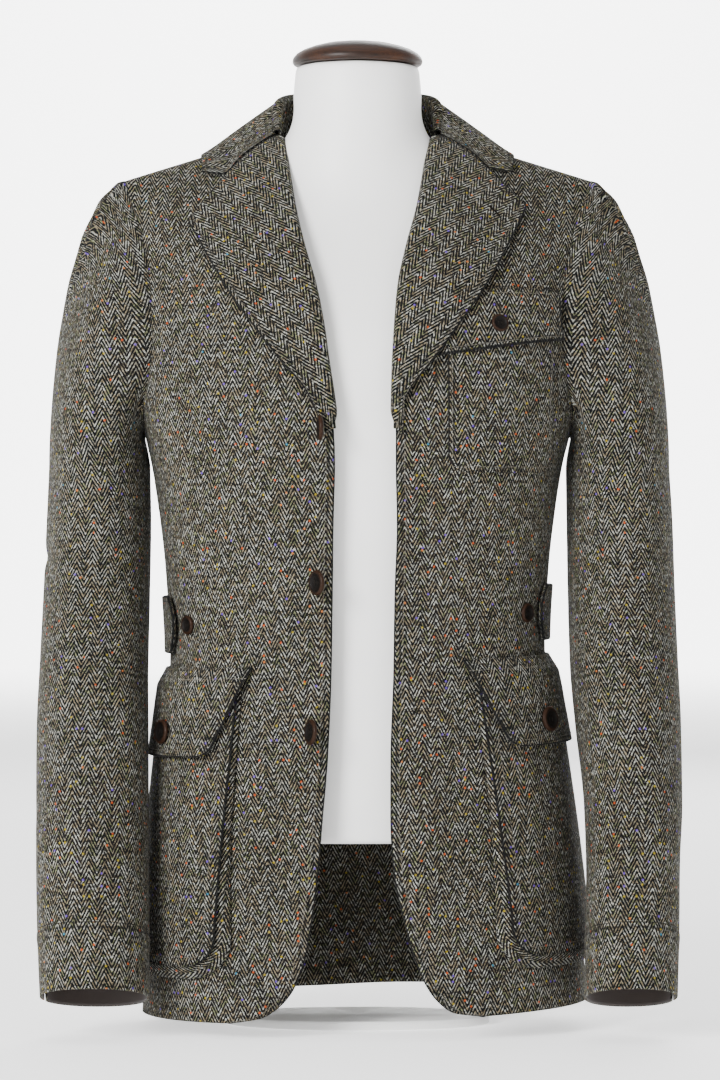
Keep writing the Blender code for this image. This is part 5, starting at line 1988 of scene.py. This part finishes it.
@dataclass
class DressForm:
    """Limbless form inside the jacket, with its wooden cap, legs and base plate."""

    finish: Finishes
    body: Body
    tip: float = 197.0
    leg_x: float = 96.0
    leg_radius: float = 8.0
    leg_ends: tuple[float, float] = (8.3, 164.7)
    leg_bevel: float = 0.5
    base_depth: float = 0.5
    voxel: float = 0.0038
    calm_rounds: int = 6
    neck_join: Triple = (600.0, 812.0, 55.0)
    neck_rounds: int = 220
    rings: Table = sections(
        "level half front back",
        (165, 150, 108, 96), (215, 154, 110, 100), (287, 151, 107, 94), (327, 147, 104, 90),
        (397, 152, 106, 92), (480, 163, 112, 102), (522, 171, 115, 108), (545, 176, 116, 110),
    )
    ridge: Table = sections(
        "x y z",
        (0, 10, 770), (70, 10, 772), (92, 9.2, 773.8), (139, 6, 758.8), (206, 0, 737.5),
    )
    neck: tuple[tuple[float, float], ...] = (
        (0, 690), (58, 690), (58.5, 750), (58, 785), (57, 805), (56, 822), (54.3, 840), (53.6, 841.4),
        (0, 841.7),
    )
    cap: tuple[tuple[float, float], ...] = (
        (0, 842), (54.6, 842), (56.2, 842.8), (57.2, 844.6), (57.2, 846.6), (56.4, 849), (53.6, 852.2),
        (48, 855.5), (40, 858.4), (30, 861), (20, 862.4), (10, 863), (0, 863.2),
    )
    base: tuple[tuple[float, float], ...] = (
        (0, 0), (114.4, 0), (115.4, 0.5), (116, 1.5), (116, 6), (115.4, 7.4), (114, 8), (0, 8),
    )

    @staticmethod
    def sealed(bm: bmesh.types.BMesh, name: str, material: Material) -> bpy.types.Mesh:
        """Close a form piece.

        Args:
            bm: Mesh in millimetres.
            name: Piece name.
            material: Its material.

        Returns:
            The mesh, with outward faces.
        """
        bmesh.ops.remove_doubles(bm, verts=bm.verts, dist=1e-4)
        bmesh.ops.recalc_face_normals(bm, faces=bm.faces)
        for face in bm.faces:
            face.smooth = True
        mesh = closed(bm, name)
        mesh.materials.append(material)
        mesh.set_sharp_from_angle(angle=math.radians(40))
        return mesh

    def torso(self) -> None:
        """Make the torso and neck as one smooth skin."""
        quarter = np.linspace(0, 1, 33)
        turns = np.concatenate([quarter, 2 - quarter[-2::-1]])
        skirt, chest, top = np.linspace(-380, 0, 48), np.linspace(0, 300, 40), np.linspace(300, 350, 14)
        rises = np.concatenate([skirt, chest[1:], top[1:]])
        left = self.body.skin(self.rings, (self.ridge, self.ridge), self.tip, turns[None, :], rises[:, None])
        loops = np.concatenate([left, (left * [-1, 1, 1])[:, -2:0:-1]], axis=1)
        bm = bmesh.new()
        rings = [[bm.verts.new(p) for p in line] for line in loops]
        for low, high in zip(rings, rings[1:]):
            for i in range(len(low)):
                bm.faces.new((low[i - 1], low[i], high[i], high[i - 1]))
        bm.faces.new(rings[0][::-1])
        revolve(bm, self.neck, 64, Matrix.Identity(4))
        rough = placed("form_torso_rough", self.sealed(bm, "form_torso_rough", self.finish.cover))
        skin = rough.modifiers.new("Skin", "REMESH")
        skin.mode = "VOXEL"
        skin.voxel_size = self.voxel
        skin.use_smooth_shade = True
        calm = rough.modifiers.new("Calm", "SMOOTH")
        calm.factor = 0.5
        calm.iterations = self.calm_rounds
        mesh = evaluated(rough, "form_torso_skin")
        mesh.materials.clear()
        mesh.materials.append(self.finish.cover)
        mesh.polygons.foreach_set("use_smooth", np.ones(len(mesh.polygons), bool))
        self.ease_neck(mesh)
        settle(mesh, "form_torso")

    def ease_neck(self, mesh: bpy.types.Mesh) -> None:
        """Draw the neck into the shoulders with a soft hollow, leaving the rest of the skin as it is.

        Args:
            mesh: Skin of torso and neck.
        """
        count = len(mesh.vertices)
        spots = np.empty(count * 3, np.float32)
        mesh.vertices.foreach_get("co", spots)
        spots = spots.reshape(-1, 3).astype(float)
        ends = np.empty(len(mesh.edges) * 2, np.int32)
        mesh.edges.foreach_get("vertices", ends)
        a, b = ends.reshape(-1, 2).T
        degree = np.bincount(a, minlength=count) + np.bincount(b, minlength=count)
        low, high, fade = self.neck_join
        height = spots[:, 2] / MM
        share = np.clip((height - low) / fade, 0, 1) * np.clip((high - height) / fade, 0, 1)
        for _ in range(self.neck_rounds):
            for axis in range(3):
                line = spots[:, axis]
                around = np.bincount(a, line[b], count) + np.bincount(b, line[a], count)
                spots[:, axis] = line + (around / degree - line) * share * 0.9
        mesh.vertices.foreach_set("co", spots.astype(np.float32).ravel())
        mesh.update()

    def build(self) -> None:
        """Make the torso, cap, base and legs."""
        self.torso()
        wood, paint = self.finish.wood, self.finish.paint
        r, bevel, (low, high) = self.leg_radius, self.leg_bevel, self.leg_ends
        leg = [(0, low), (r - bevel, low), (r, low + bevel), (r, high - bevel), (r - bevel, high), (0, high)]
        flat = Matrix.Diagonal((1, self.base_depth, 1, 1))
        turned = [
            ("form_cap", "wood", "cap_wood", wood, self.cap, 96, Matrix.Identity(4)),
            ("form_base", "plate", "stand_paint", paint, self.base, 96, flat),
        ]
        for side in Side:
            where = Matrix.Translation((side.value * self.leg_x, 0, 0))
            turned.append((f"form_leg_{side.label}", "tube", "stand_paint", paint, leg, 32, where))
        for node, stuff, slot, material, profile, steps, where in turned:
            bm = bmesh.new()
            revolve(bm, profile, steps, where)
            settle(self.sealed(bm, f"{node}_{stuff}", material), node)


@dataclass
class Studio:
    """Pale floor sweep, soft lights and the camera."""

    distance: float = 3.6
    eye: float = 0.425
    aside: float = 0.0022
    lens: float = 136.4
    sky: float = 0.72
    floor_flat: float = 10.0
    floor_bend: float = 4.0
    floor_top: float = 12.0
    floor_half: float = 30.0
    floor_glow: float = 0.9
    lamps: tuple[tuple[str, Triple, Triple, float, float], ...] = (
        ("key", (-1.9, -2.7, 1.45), (0.0, 0.0, 0.35), 1.4, 200.0),
        ("fill", (2.0, -2.3, 1.4), (0.0, 0.0, 0.4), 2.2, 10.0),
        ("rear", (1.0, 3.4, 2.2), (0.0, 0.0, 0.45), 2.0, 75.0),
        ("backdrop", (0.0, 9.5, 5.5), (0.0, 14.0, 1.5), 5.0, 1500.0),
        ("top", (0.0, -0.3, 2.9), (0.0, 0.0, 0.5), 2.0, 12.0),
    )

    def build(self) -> None:
        """Set up floor, lights and camera."""
        self.floor()
        self.lights()
        data = bpy.data.cameras.new("camera")
        data.lens = self.lens
        data.sensor_fit = "VERTICAL"
        data.sensor_height = 36.0
        camera = placed("camera", data)
        camera.location = (self.aside, -self.distance, self.eye)
        camera.rotation_euler = (math.pi / 2, 0.0, 0.0)
        bpy.context.scene.camera = camera

    def floor(self) -> None:
        """Lay the floor that curves up into a backdrop."""
        flat, bend, half = self.floor_flat, self.floor_bend, self.floor_half
        turns = np.linspace(0, math.pi / 2, 24)[1:]
        curve = [(flat + bend * math.sin(a), bend - bend * math.cos(a)) for a in turns]
        profile = [(-half, 0.0), (flat, 0.0), *curve, (flat + bend, self.floor_top)]
        verts = [(x, y, z) for y, z in profile for x in (-half, half)]
        faces = [(2 * i, 2 * i + 1, 2 * i + 3, 2 * i + 2) for i in range(len(profile) - 1)]
        mesh = bpy.data.meshes.new("floor_sweep")
        mesh.from_pydata(verts, [], faces)
        mesh.polygons.foreach_set("use_smooth", np.ones(len(faces), bool))
        white = Graph("floor_white").done((0.95, 0.95, 0.95), 0.9, None, emission_strength=self.floor_glow)
        mesh.materials.append(white)
        placed("floor_sweep", mesh)

    def lights(self) -> None:
        """Hang large soft lamps, each aimed at a point, in an even pale surround."""
        for name, where, aim, size, power in self.lamps:
            data = bpy.data.lights.new(name, "AREA")
            data.shape = "DISK"
            data.size = size
            data.energy = power
            lamp = placed(name, data)
            lamp.location = where
            lamp.rotation_euler = (Vector(aim) - Vector(where)).to_track_quat("-Z", "Y").to_euler()
        world = bpy.data.worlds.new("studio")
        world.use_nodes = True
        surround = world.node_tree.nodes["Background"]
        surround.inputs["Color"].default_value = (1.0, 1.0, 1.0, 1.0)
        surround.inputs["Strength"].default_value = self.sky
        bpy.context.scene.world = world


def main() -> None:
    """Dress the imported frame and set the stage."""
    logging.basicConfig(level=logging.INFO, format="%(name)s %(message)s")
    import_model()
    finish = Finishes.make()
    body = Body()
    panels = Panels(finish, body)
    lapels = Lapels(finish, panels)
    pockets = Pockets(finish, panels)
    panels.build()
    Sleeves(finish, panels).build()
    lapels.build()
    pockets.build()
    Buttons(finish, panels).build()
    Stitching(finish, panels, lapels, pockets).build()
    DressForm(finish, body).build()
    Studio().build()


if __name__ == "__main__":
    main()
